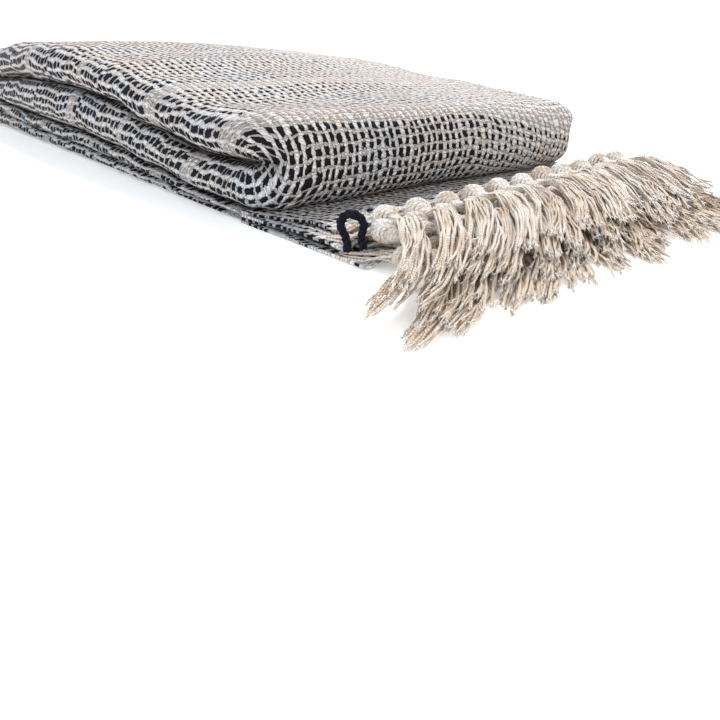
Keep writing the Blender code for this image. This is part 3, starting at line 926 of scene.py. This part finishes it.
def make_top_cloth():
    """Cloth over the top, round the roll and down the back fold, with its folded sides."""
    ring = outline()
    count = len(ring)
    places = [stretch_place(row) for row in range(STRETCH_ROWS)]
    points, faces = side_rows(ring, places, stretch_profile, False)
    row_faces = len(faces)

    # A grid spanned between the last row's four sides, at the top's height
    front, side = FRONT_STEPS, SIDE_STEPS
    keys = [(i, 0) for i in range(front)] + [(front, j) for j in range(side)]
    keys += [(i, side) for i in range(front, 0, -1)] + [(0, j) for j in range(side, 0, -1)]
    index = {key: (STRETCH_ROWS - 1) * count + step for step, key in enumerate(keys)}
    border = {key: points[value] for key, value in index.items()}
    for i in range(1, front):
        for j in range(1, side):
            u, v = i / front, j / side
            along = border[(0, j)].lerp(border[(front, j)], u)
            across = border[(i, 0)].lerp(border[(i, side)], v)
            low = border[(0, 0)].lerp(border[(front, 0)], u)
            high = border[(0, side)].lerp(border[(front, side)], u)
            spot = along + across - low.lerp(high, v)
            spot.z = heights(spot.x, spot.y)[3]
            index[(i, j)] = len(points)
            points.append(spot)
    faces += [(index[(i, j)], index[(i + 1, j)], index[(i + 1, j + 1)], index[(i, j + 1)])
              for i in range(front) for j in range(side)]
    weave, patches = weave_map(points, faces, row_faces, ring)
    close = [CREST_CLOSE * smooth((point.z - heights(point.x, point.y)[3] + CREST_DEPTH) / CREST_DEPTH)
             for point in points]
    crease = crease_depth(ring, places, STRETCH_CREASES)
    piece = build_mesh("top_cloth", points, faces, weave, patches, close, crease)
    vertices = piece.data.vertices
    for vertex, normal in zip(vertices, [vertex.normal.copy() for vertex in vertices]):
        vertex.co += normal * cloth_relief(vertex.co - FRAME_SHIFT)
    piece.data.update()
    add_wall(piece, CLOTH_WALL)
    return piece


def make_layer_edges():
    """Edges of the hidden layers, which show as two folded runs under the top stretch."""
    ring = outline()
    count = len(ring)
    places = [EDGE_PLACES * row / (EDGE_ROWS - 1) for row in range(EDGE_ROWS)]
    points, faces = side_rows(ring, places, edge_profile, True)
    weave = []
    risen = [0.0] * count
    for number, point in enumerate(points):
        step = number % count
        risen[step] += (point - points[max(number - count, step)]).length
        weave.append((risen[step] + LAYER_WEAVE_START, point.y + point.x * LAYER_SKEW))
    # The top, just under the top cloth, and the flat underside close it
    last = (EDGE_ROWS - 1) * count
    crown = len(points)
    points += [Vector((WIDTH / 2, LENGTH / 2, points[last].z + LAYER_CROWN)),
               Vector((WIDTH / 2, LENGTH / 2, 0.0))]
    weave += [(WIDTH / 2, LENGTH / 2)] * 2
    for step in range(count):
        after = (step + 1) % count
        faces.append((last + step, last + after, crown))
        faces.append((after, step, crown + 1))
    crease = crease_depth(ring, places, EDGE_CREASES)
    return build_mesh("layer_edges", points, faces, weave, {}, [LAYER_CLOSE] * len(points), crease)


def reach_at(row, x):
    """How far the edge of a row's lip reaches out in front of the roll, at x."""
    return row.reach + ASKEW * (WIDTH - x)


def knot_places(row):
    places = []
    for number in range(TASSELS_PER_ROW):
        x = row.first_x + TASSEL_PITCH * number
        y = -(reach_at(row, x) + LIP_NOSE + KNOT_SEAT + KNOT_LENGTH / 2)
        places.append(Vector((x, y, row.knot_z)))
    return places


def lip_sides(knots):
    """Where the edge of a lip begins and ends along x, half a pitch outside its knots."""
    return knots[0].x - TASSEL_PITCH / 2, knots[-1].x + TASSEL_PITCH / 2


def lip_point(row, x, share):
    """A point of one lip: x along its edge, and share from 0 at the root to 1 at the edge."""
    number = TASSEL_ROWS.index(row)
    end = ENDS[number // 2]
    base = end.floor + LIP_THICKNESS * (1 + number % 2) + LIP_GAP * (number % 2)
    knots = knot_places(row)
    first, last = lip_sides(knots)
    nearest = min(knots, key=lambda knot: abs(knot.x - x))
    away = min(abs(x - nearest.x) / (TASSEL_PITCH / 2), 1.0)
    near = 1.0 - smooth(away)
    edge_y = -reach_at(row, x) + EDGE_BACK + EDGE_DIP * (1.0 - near)
    root_x = end.root_left + (end.root_right - end.root_left) * (x - first) / (last - first)
    y = END_ROOT + (edge_y - END_ROOT) * share
    to_edge = y - edge_y
    drawn = DRAW_SHARE * (1.0 - smooth(to_edge / DRAW_DEPTH)) * (1.0 - away ** 4)
    px = root_x + (x - root_x) * smooth(share * 1.6) + (nearest.x - x) * drawn
    lift = (nearest.z - base - LIP_THICKNESS) * LIFT_SHARE * near ** 1.5
    lift *= 1.0 - smooth(to_edge / LIFT_DEPTH)
    # Puckers fan out from each knot, and the rest lies slack
    fan = (1.0 - smooth(to_edge / FAN_DEPTH)) * (0.6 + 0.4 * math.sin(nearest.x * 211.0))
    pucker = math.cos((x - nearest.x) * PUCKERS + nearest.x * 400.0)
    pucker = fan * PUCKER_HEIGHT * (1.0 + pucker)
    slack = 1.0
    for wave_x, wave_y, depth, height in LIP_WAVES:
        slack += height * noise.noise(Vector((x * wave_x, y * wave_y, depth)))
    slack *= LAYER_SLACK[number] * smooth((SLACK_START - y) / SLACK_REACH)
    slack *= smooth(to_edge / SLACK_DEPTH)
    return Vector((px, y, base + lift + pucker + slack))


def make_end(end, *rows):
    """One fringed end: two lips of woven cloth, drawn up and together towards the knots."""
    points, faces, weave, close = [], [], [], []
    for row in rows:
        left, right = lip_sides(knot_places(row))
        start = len(points)
        for column in range(LIP_COLUMNS + 1):
            x = left + (right - left) * column / LIP_COLUMNS
            for step in range(LIP_ROWS + 1):
                point = lip_point(row, x, step / LIP_ROWS)
                points.append(point)
                weave.append((x, (point.y + reach_at(row, x)) * HEADER_TIGHTER - HEADER_PLACE))
                close.append(ROOT_CLOSE + HEADER_CLOSE * smooth(2 * step / LIP_ROWS - 1.0))
        for column in range(LIP_COLUMNS):
            for step in range(LIP_ROWS):
                corner = start + column * (LIP_ROWS + 1) + step
                faces.append((corner, corner + 1, corner + LIP_ROWS + 2, corner + LIP_ROWS + 1))
    piece = build_mesh(f"{end.name}_cloth", points, faces, weave, {}, close, [])
    add_wall(piece, LIP_THICKNESS)
    return piece


# Yarns

def yarn_tree():
    """Turns polylines into yarns: loosens them, keeps them off the floor, gives them a round
    section and a twist attribute, and frays their loose ends."""
    tree = bpy.data.node_groups.new("yarns_from_lines", "GeometryNodeTree")
    inputs = {"Geometry": "Geometry", "Looseness": "Float", "Noise Scale": "Float",
              "Seed": "Float", "Floor": "Float", "Tip": "Object", "Material": "Material"}
    for name, kind in inputs.items():
        tree.interface.new_socket(name=name, in_out="INPUT", socket_type=f"NodeSocket{kind}")
    tree.interface.new_socket(name="Geometry", in_out="OUTPUT", socket_type="NodeSocketGeometry")
    nodes = Nodes(tree)
    lines, looseness, scale, seed, floor, tip, material = nodes.outputs(
        tree.nodes.new("NodeGroupInput"), len(inputs))

    def attribute(name):
        return nodes.add("GeometryNodeInputNamedAttribute", {"data_type": "FLOAT"}, {"Name": name})

    def captured(geometry, kind, value):
        """A geometry with a value that is kept on it, and that value."""
        node = tree.nodes.new("GeometryNodeCaptureAttribute")
        node.capture_items.new(kind, "value")
        tree.links.new(geometry.socket, node.inputs[0])
        tree.links.new(value.socket, node.inputs[1])
        return nodes.outputs(node, 2)

    def with_twist(geometry, value):
        return nodes.add("GeometryNodeStoreNamedAttribute",
                         {"data_type": "FLOAT_VECTOR", "domain": "POINT"},
                         {"Geometry": geometry, "Name": "twist", "Value": value})

    place = nodes.add("GeometryNodeInputPosition")
    field = nodes.add("ShaderNodeTexNoise", {"noise_dimensions": "4D"},
                      {"Vector": place, "W": attribute("number") * 7.31 + seed, "Scale": scale,
                       "Detail": 1.0}, out=1)
    centred = nodes.add("ShaderNodeVectorMath", {"operation": "SUBTRACT"},
                        {0: field, 1: (0.5, 0.5, 0.5)})
    moved = nodes.add("ShaderNodeVectorMath", {"operation": "SCALE"},
                      {0: centred, "Scale": attribute("loose") * looseness})
    target = nodes.add("ShaderNodeVectorMath", {"operation": "ADD"}, {0: place, 1: moved})
    x, y, z = nodes.parts(target)
    loosened = nodes.add("GeometryNodeSetPosition", None,
                         {"Geometry": lines, "Position": nodes.vector(x, y, z.most(floor))})
    curve = nodes.add("GeometryNodeMeshToCurve", None, {"Mesh": loosened})
    curve, length = captured(curve, "FLOAT", nodes.add("GeometryNodeSplineParameter", out=1))
    circle = nodes.add("GeometryNodeCurvePrimitiveCircle", None, {"Resolution": 4, "Radius": 1.0})
    circle, turn = captured(circle, "VECTOR", nodes.add("GeometryNodeInputPosition"))
    tubes = nodes.add("GeometryNodeCurveToMesh", None,
                      {"Curve": curve, "Profile Curve": circle, "Scale": attribute("thickness"),
                       "Fill Caps": True})
    cosine, sine, _ = nodes.parts(turn)
    tubes = with_twist(tubes, nodes.vector(cosine, sine, length))
    ends = nodes.add("GeometryNodeCurveEndpointSelection", None, {"Start Size": 0, "End Size": 1})
    brush = nodes.add("GeometryNodeObjectInfo", None, {"Object": tip}, out=4)
    turned = nodes.add("FunctionNodeAlignRotationToVector", {"axis": "Z"},
                       {"Vector": nodes.add("GeometryNodeInputTangent")})
    tips = nodes.add("GeometryNodeInstanceOnPoints", None,
                     {"Points": curve, "Selection": ends * attribute("frays"),
                      "Instance": brush, "Rotation": turned})
    tips = nodes.add("GeometryNodeRealizeInstances", None, {"Geometry": tips})
    # A place before the yarn's start marks a frayed end
    tips = with_twist(tips, (1.0, 0.0, -1.0))
    joined = nodes.add("GeometryNodeJoinGeometry")
    for geometry in (tubes, tips):
        tree.links.new(geometry.socket, joined.socket.node.inputs[0])
    rounded = nodes.add("GeometryNodeSetShadeSmooth", None, {"Geometry": joined})
    real = nodes.add("GeometryNodeRealizeInstances", None, {"Geometry": rounded})
    done = nodes.add("GeometryNodeSetMaterial", None, {"Geometry": real, "Material": material})
    output = tree.nodes.new("NodeGroupOutput")
    tree.links.new(done.socket, output.inputs[0])
    return tree


def frayed_tip():
    """Small brush of loosened plies at the end of a cut yarn, along +Z from the yarn's end."""
    shape = bmesh.new()
    chance = random.Random(5)
    for number in range(TIP_FIBRES):
        angle = 2 * math.pi * number / TIP_FIBRES + chance.uniform(-0.4, 0.4)
        out = Vector((math.cos(angle), math.sin(angle), 0.0))
        across = Vector((-out.y, out.x, 0.0))
        length = chance.uniform(0.0020, 0.0042)
        flare = chance.uniform(0.0001, 0.0006)
        rings = []
        for share, half in TIP_SECTIONS:
            middle = out * (0.00018 + flare * max(share, 0.0) ** 1.6)
            middle += across * 0.0002 * math.sin(share * 5.0) + Vector((0, 0, length * share))
            rings.append([shape.verts.new(middle + (out * math.cos(a) + across * math.sin(a)) * half)
                          for a in (0.0, 2.1, 4.2)])
        for low, high in zip(rings, rings[1:]):
            for corner in range(3):
                after = (corner + 1) % 3
                shape.faces.new((low[corner], low[after], high[after], high[corner]))
        shape.faces.new(rings[-1])
        shape.faces.new(list(reversed(rings[0])))
    mesh = bpy.data.meshes.new("frayed_tip")
    shape.to_mesh(mesh)
    shape.free()
    return add_object("frayed_tip", mesh)


YARN_TREE = yarn_tree()
FRAYED_TIP = frayed_tip()


class Lines:
    """Polylines that the yarn tree turns into yarns."""

    def __init__(self):
        self.points = []
        self.edges = []
        self.values = {"thickness": [], "loose": [], "number": [], "frays": []}
        self.count = 0

    def add(self, route, radius, loose=0.0, frays=0.0):
        """radius and loose are numbers, or functions of the share of the way along."""
        start = len(self.points)
        last = len(route) - 1
        for step, point in enumerate(route):
            share = step / last
            self.points.append(placed(point))
            self.values["thickness"].append(radius(share) if callable(radius) else radius)
            self.values["loose"].append(loose(share) if callable(loose) else loose)
            self.values["number"].append(float(self.count))
            self.values["frays"].append(frays)
        self.edges += [(start + step, start + step + 1) for step in range(last)]
        self.count += 1

    def make(self, name, material, looseness, scale, seed):
        mesh = bpy.data.meshes.new(name + "_lines")
        mesh.from_pydata([tuple(point) for point in self.points], self.edges, [])
        for key, values in self.values.items():
            mesh.attributes.new(key, "FLOAT", "POINT").data.foreach_set("value", values)
        source = add_object(name + "_lines", mesh)
        modifier = source.modifiers.new("yarns", "NODES")
        modifier.node_group = YARN_TREE
        values = {"Looseness": looseness, "Noise Scale": scale, "Seed": seed, "Floor": YARN_FLOOR,
                  "Tip": FRAYED_TIP, "Material": material}
        for item in YARN_TREE.interface.items_tree:
            if item.item_type == "SOCKET" and item.in_out == "INPUT" and item.name in values:
                modifier[item.identifier] = values[item.name]
        bpy.context.view_layer.update()
        result = bpy.data.meshes.new_from_object(
            source.evaluated_get(bpy.context.evaluated_depsgraph_get()))
        bpy.data.objects.remove(source, do_unlink=True)
        # The lowest fibres lie on the floor
        for vertex in result.vertices:
            vertex.co.z = max(vertex.co.z, FIBRE_FLOOR)
        return add_object(name, result)


def winding(angle, wide, high, y=0.0):
    """A point round the Y axis."""
    return Vector((math.cos(angle) * wide, y, math.sin(angle) * high))


def add_knot(lines, knot, chance):
    """An overhand knot: thick yarns wound slantwise round a core, under a few that cross them."""
    tilt = chance.uniform(-0.4, 0.4)
    slant = chance.uniform(0.35, 0.60)
    size = KNOT_RADIUS * chance.uniform(0.86, 1.0)
    for wrap in range(KNOT_WRAPS):
        offset = (wrap - (KNOT_WRAPS - 1) / 2) * WRAP_PITCH
        radius = size * 0.80 * math.sqrt(1.0 - (offset / 0.0050) ** 2)
        route = []
        for step in range(WRAP_STEPS + 1):
            angle = 2 * math.pi * step / WRAP_STEPS
            along = -offset - slant * math.cos(angle + 0.6) * radius
            route.append(knot + winding(angle + tilt, radius, radius, along))
        lines.add(route, WRAP_RADIUS)
    for core in range(CORE_YARNS):
        spot = knot + winding(2.1 * core, CORE_REACH, CORE_REACH)
        lines.add([spot + Vector((0.0, along, 0.0)) for along in (-CORE_HALF, 0.0, CORE_HALF)],
                  lambda share: 0.0010 + 0.0010 * math.sin(math.pi * share))
    for cross in (-1, 0, 1):
        route = []
        for step in range(CROSS_STEPS + 1):
            share = step / CROSS_STEPS
            bulge = math.sin(math.pi * share)
            angle = math.radians(-40 + 200 * share) + tilt
            radius = size * (0.66 + 0.42 * bulge - 0.06 * abs(cross))
            along = -0.0030 + 0.0068 * share + cross * CROSS_PITCH * (0.6 + 0.4 * bulge)
            route.append(knot + winding(angle, radius, radius, along))
        lines.add(route, CROSS_RADIUS)


def lock_place(knot, aside, turn, lock_heights, length, bow, share):
    """Middle of a lock at a share of its length, as in the solids."""
    x = knot.x + aside * smooth(share * 2.2) + bow * math.sin(math.pi * share)
    x += length * math.sin(turn) * share ** 2
    y = knot.y - KNOT_LENGTH / 2 - (length - KNOT_LENGTH) * math.cos(turn) * share
    stops = [(0.0, knot.z)] + list(zip(LOCK_SECTION_SHARES, lock_heights))
    return Vector((x, y, from_table(stops, share)[0]))


def add_gathered(lines, row, knot):
    """Yarns that gather from the cloth's edge into a knot."""
    half = (GATHERED_YARNS - 1) / 2
    for yarn in range(GATHERED_YARNS):
        spread = (yarn - half) / half
        x = knot.x + spread * TASSEL_PITCH * 0.48
        end = knot + Vector((spread * 0.0024, KNOT_LENGTH * 0.30, 0.0015 * math.cos(2.3 * yarn)))
        route = [lip_point(row, x, share) for share in (0.80, 0.85, 0.90, 0.95)]
        for step, point in enumerate(route):
            point.z += 0.00035 * (step - 1)
        middle = route[-1].lerp(end, 0.5) + Vector((0.0, 0.0, 0.0006))
        lines.add(route + [middle, middle.lerp(end, 0.6), end],
                  GATHERED_RADIUS, lambda s: 0.35 * math.sin(math.pi * s))


def add_tassel(lines, row, knot, number):
    """Knot, the yarns gathered into it from the cloth's edge, and the loose yarns below it."""
    share = number / (TASSELS_PER_ROW - 1)
    chance = random.Random(1000 * TASSEL_ROWS.index(row) + number)
    turn = row.first_turn + (row.last_turn - row.first_turn) * share + chance.uniform(-3, 3)
    turn = math.radians(turn)
    sway = row.bow * math.cos(2.2 * share * math.pi)
    reach = row.length * (1.0 + 0.05 * math.sin(2.4 * number))
    knot = knot + Vector((chance.uniform(-0.0009, 0.0009), chance.uniform(-0.0012, 0.0004),
                          chance.uniform(-0.0003, 0.0008)))
    add_knot(lines, knot, chance)
    add_gathered(lines, row, knot)
    for lock in range(LOCKS):
        aside = (lock - (LOCKS - 1) / 2) * LOCK_PITCH * 0.78
        spin = chance.uniform(0, 2 * math.pi)
        lock_reach = reach * chance.uniform(0.90, 1.0)
        for yarn in range(YARNS_PER_LOCK):
            angle = spin + 2 * math.pi * yarn / YARNS_PER_LOCK
            stray = chance.random() < STRAY_SHARE
            room = (STRAY_ROOM if stray else YARN_ROOM) * chance.uniform(0.7, 1.2)
            yarn_reach = lock_reach * chance.uniform(0.82, 1.0)
            start_angle = 2 * math.pi * (lock + yarn / YARNS_PER_LOCK) / LOCKS
            wind_rate = chance.uniform(2.0, 4.5)
            head = winding(start_angle, 0.0023, 0.0020)
            route = [knot + winding(start_angle, 0.0016, 0.0014)]
            for step in range(YARN_POINTS):
                s = step / (YARN_POINTS - 1)
                middle = lock_place(knot, aside, turn, row.lock_heights, yarn_reach, sway, s)
                radius = room * (0.8 + 0.9 * s)
                offset = winding(angle + wind_rate * s, radius * 1.15, radius * 0.7)
                fade = smooth(s * 4.0)
                route.append(middle + head * (1 - fade) + offset * fade)
            thick = (STRAY_RADIUS if stray else YARN_RADIUS) * chance.uniform(0.85, 1.15)
            loose = STRAY_LOOSE if stray else YARN_LOOSE
            lines.add(route, thick, lambda s, m=loose: m * smooth(s * 3.0) * (0.7 + 0.5 * s), 1.0)


def make_tassel_row(row):
    lines = Lines()
    for number, knot in enumerate(knot_places(row)):
        add_tassel(lines, row, knot, number)
    seed = TASSEL_ROWS.index(row) * 13.0
    return lines.make(f"tassels_{row.name}", FRINGE, TASSEL_WANDER, TASSEL_WAVES, seed)


def loop_middles():
    """Middle of the black loop, sideways and up: two feet under an arch, leaning a little."""
    route = [(-0.0026, -0.0012), (-0.0023, 0.0018), (-0.0027, 0.0038)]
    route += [(LOOP_RADIUS * math.sin(angle), LOOP_CENTRE + LOOP_RADIUS * math.cos(angle))
              for angle in (math.radians(-125 + 25 * step) for step in range(11))]
    route += [(0.0029, 0.0038), (0.0030, 0.0018), (0.0034, -0.0012)]
    middles = []
    for (x0, z0), (x1, z1) in zip(route, route[1:]):
        for part in range(4):
            x, z = x0 + (x1 - x0) * part / 4, z0 + (z1 - z0) * part / 4
            middles.append((x - 0.09 * z, z))
    return middles


def add_black_tails(lines):
    """Cut black picks that hang out of the cloth's edge between the tassels."""
    for x, reach, rise in BLACK_TAILS:
        start = lip_point(TASSEL_ROWS[3], x, 0.90)
        bend = start + Vector((0.3 * reach, -0.5 * abs(reach) - 0.003, rise))
        end = bend + Vector((reach, -0.006, 0.4 * rise - 0.0035))
        route = [start.lerp(bend, part / 4) + Vector((0, 0, rise * math.sin(math.pi * part / 5)))
                 for part in range(4)]
        route += [bend.lerp(end, part / 5) + Vector((0.0, 0.0, 0.002 * math.sin(2.0 * part)))
                  for part in range(6)]
        lines.add(route, TAIL_RADIUS, lambda s: s, 1.0)


def make_selvage_loop():
    """Thick black edge yarn that loops out at the near corner of the upper end."""
    corner_row = TASSEL_ROWS[2]
    corner_x = corner_row.first_x - TASSEL_PITCH / 2
    foot = Vector((corner_x, -reach_at(corner_row, corner_x), LOOP_FOOT))
    across = Vector((math.cos(LOOP_TURN), math.sin(LOOP_TURN), 0.0))
    up = Vector((0, 0, 1))
    normal = across.cross(up).normalized()
    middles = loop_middles()
    lines = Lines()
    chance = random.Random(41)
    for ply in range(PLIES):
        points = []
        for step, (side, rise) in enumerate(middles):
            after = middles[min(step + 1, len(middles) - 1)]
            before = middles[max(step - 1, 0)]
            along = (across * (after[0] - before[0]) + up * (after[1] - before[1])).normalized()
            wind = 2 * math.pi * (step / 15.0 + ply / PLIES)
            round_it = normal * math.cos(wind) + along.cross(normal) * math.sin(wind)
            points.append(foot + across * side + up * rise + round_it * PLY_REACH)
        lines.add(points, PLY_RADIUS)
        for point in points[ply::5]:
            away = Vector([chance.uniform(-1, 1) for _ in range(3)]).normalized()
            lines.add([point + away * FLUFF_LENGTH * part / 4 + up * 0.0003 * math.sin(part)
                       for part in range(5)], FLUFF_RADIUS)
    add_black_tails(lines)
    return lines.make("selvage_loop_yarn", BLACK_YARN, 0.002, 150.0, 3.0)


top_cloth = make_top_cloth()
layer_edges = make_layer_edges()
lower_end = make_end(ENDS[0], TASSEL_ROWS[0], TASSEL_ROWS[1])
upper_end = make_end(ENDS[1], TASSEL_ROWS[2], TASSEL_ROWS[3])
tassel_rows = [make_tassel_row(row) for row in TASSEL_ROWS]
selvage_loop = make_selvage_loop()
bpy.data.objects.remove(FRAYED_TIP, do_unlink=True)

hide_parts("top_stretch")
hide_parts("hidden_layers")
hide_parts("lower_end")
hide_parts("upper_end")
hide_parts("selvage_loop")
for row, piece in zip(TASSEL_ROWS, tassel_rows):
    names = [f"tassel_{row.name}_{number + 1:02d}" for number in range(TASSELS_PER_ROW)]
    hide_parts(*names)
for piece in (top_cloth, layer_edges, lower_end, upper_end, selvage_loop, *tassel_rows):
    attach(piece, "root")


# Floor, light and camera

def make_floor():
    """A plain pale floor with a painted glow: dim near the bundle, which it lights a little from
    below, and brighter far from it.
    """
    material, nodes, shader = new_material("pale_floor")
    set_values(shader, Base_Color=(0.90, 0.87, 0.84, 1.0), Roughness=0.9, Specular_IOR_Level=0.1,
               Emission_Strength=1.0)
    ground = nodes.add("ShaderNodeTexCoord", out=3)
    distance = nodes.add("ShaderNodeVectorMath", {"operation": "LENGTH"}, {0: ground}, out=1)
    glow = nodes.mixed(distance.ease(0.8, 3.5), (0.30, 0.30, 0.30, 1.0), (0.62, 0.58, 0.55, 1.0))
    nodes.tree.links.new(glow.socket, shader.inputs["Emission Color"])
    mesh = bpy.data.meshes.new("floor")
    half = 30.0
    mesh.from_pydata([(-half, -half, 0), (half, -half, 0), (half, half, 0), (-half, half, 0)],
                     [], [(0, 1, 2, 3)])
    mesh.materials.append(material)
    add_object("floor", mesh)


def make_world():
    """Soft cool light from all round, white towards the horizon."""
    world = bpy.data.worlds.new("studio")
    world.use_nodes = True
    nodes = Nodes(world.node_tree)
    height = nodes.parts(nodes.add("ShaderNodeTexCoord"))[2]
    horizon = height.ease(0.09, 0.05)
    background = world.node_tree.nodes["Background"]
    colour = nodes.mixed(horizon, (0.85, 0.925, 1.0, 1.0), (1.0, 1.0, 1.0, 1.0))
    world.node_tree.links.new(colour.socket, background.inputs[0])
    world.node_tree.links.new((0.74 + horizon * 0.40).socket, background.inputs[1])
    bpy.context.scene.world = world


def add_light(name, place, target, size, power, colour):
    light = bpy.data.lights.new(name, "AREA")
    light.shape = "DISK"
    light.size = size
    light.energy = power
    light.color = colour
    lamp = add_object(name, light)
    lamp.location = place
    lamp.rotation_euler = (Vector(target) - Vector(place)).to_track_quat("-Z", "Y").to_euler()


def add_camera():
    data = bpy.data.cameras.new("camera")
    data.sensor_width = SENSOR_WIDTH
    data.lens = SENSOR_WIDTH * FOCAL_PIXELS / PHOTO_PIXELS
    data.clip_start = 0.01
    camera = add_object("camera", data)
    camera.location = placed(CAMERA_PLACE)
    camera.rotation_euler = (math.radians(90.0 - CAMERA_DOWN), 0.0, math.radians(CAMERA_TURN))
    bpy.context.scene.camera = camera


make_floor()
add_light("high_softbox", (0.75, 0.75, 1.4), (0, 0, 0), 0.7, 43.0, (1.0, 0.94, 0.90))
add_light("left_fill", (-1.6, 0.2, 0.8), (0, 0, 0), 1.0, 8.0, (0.58, 0.80, 1.0))
add_light("front_fill", (-0.2, -1.6, 0.7), (0, -0.1, 0), 1.0, 11.0, (1.0, 0.94, 0.90))
make_world()
bpy.context.scene.view_settings.view_transform = "Standard"
add_camera()
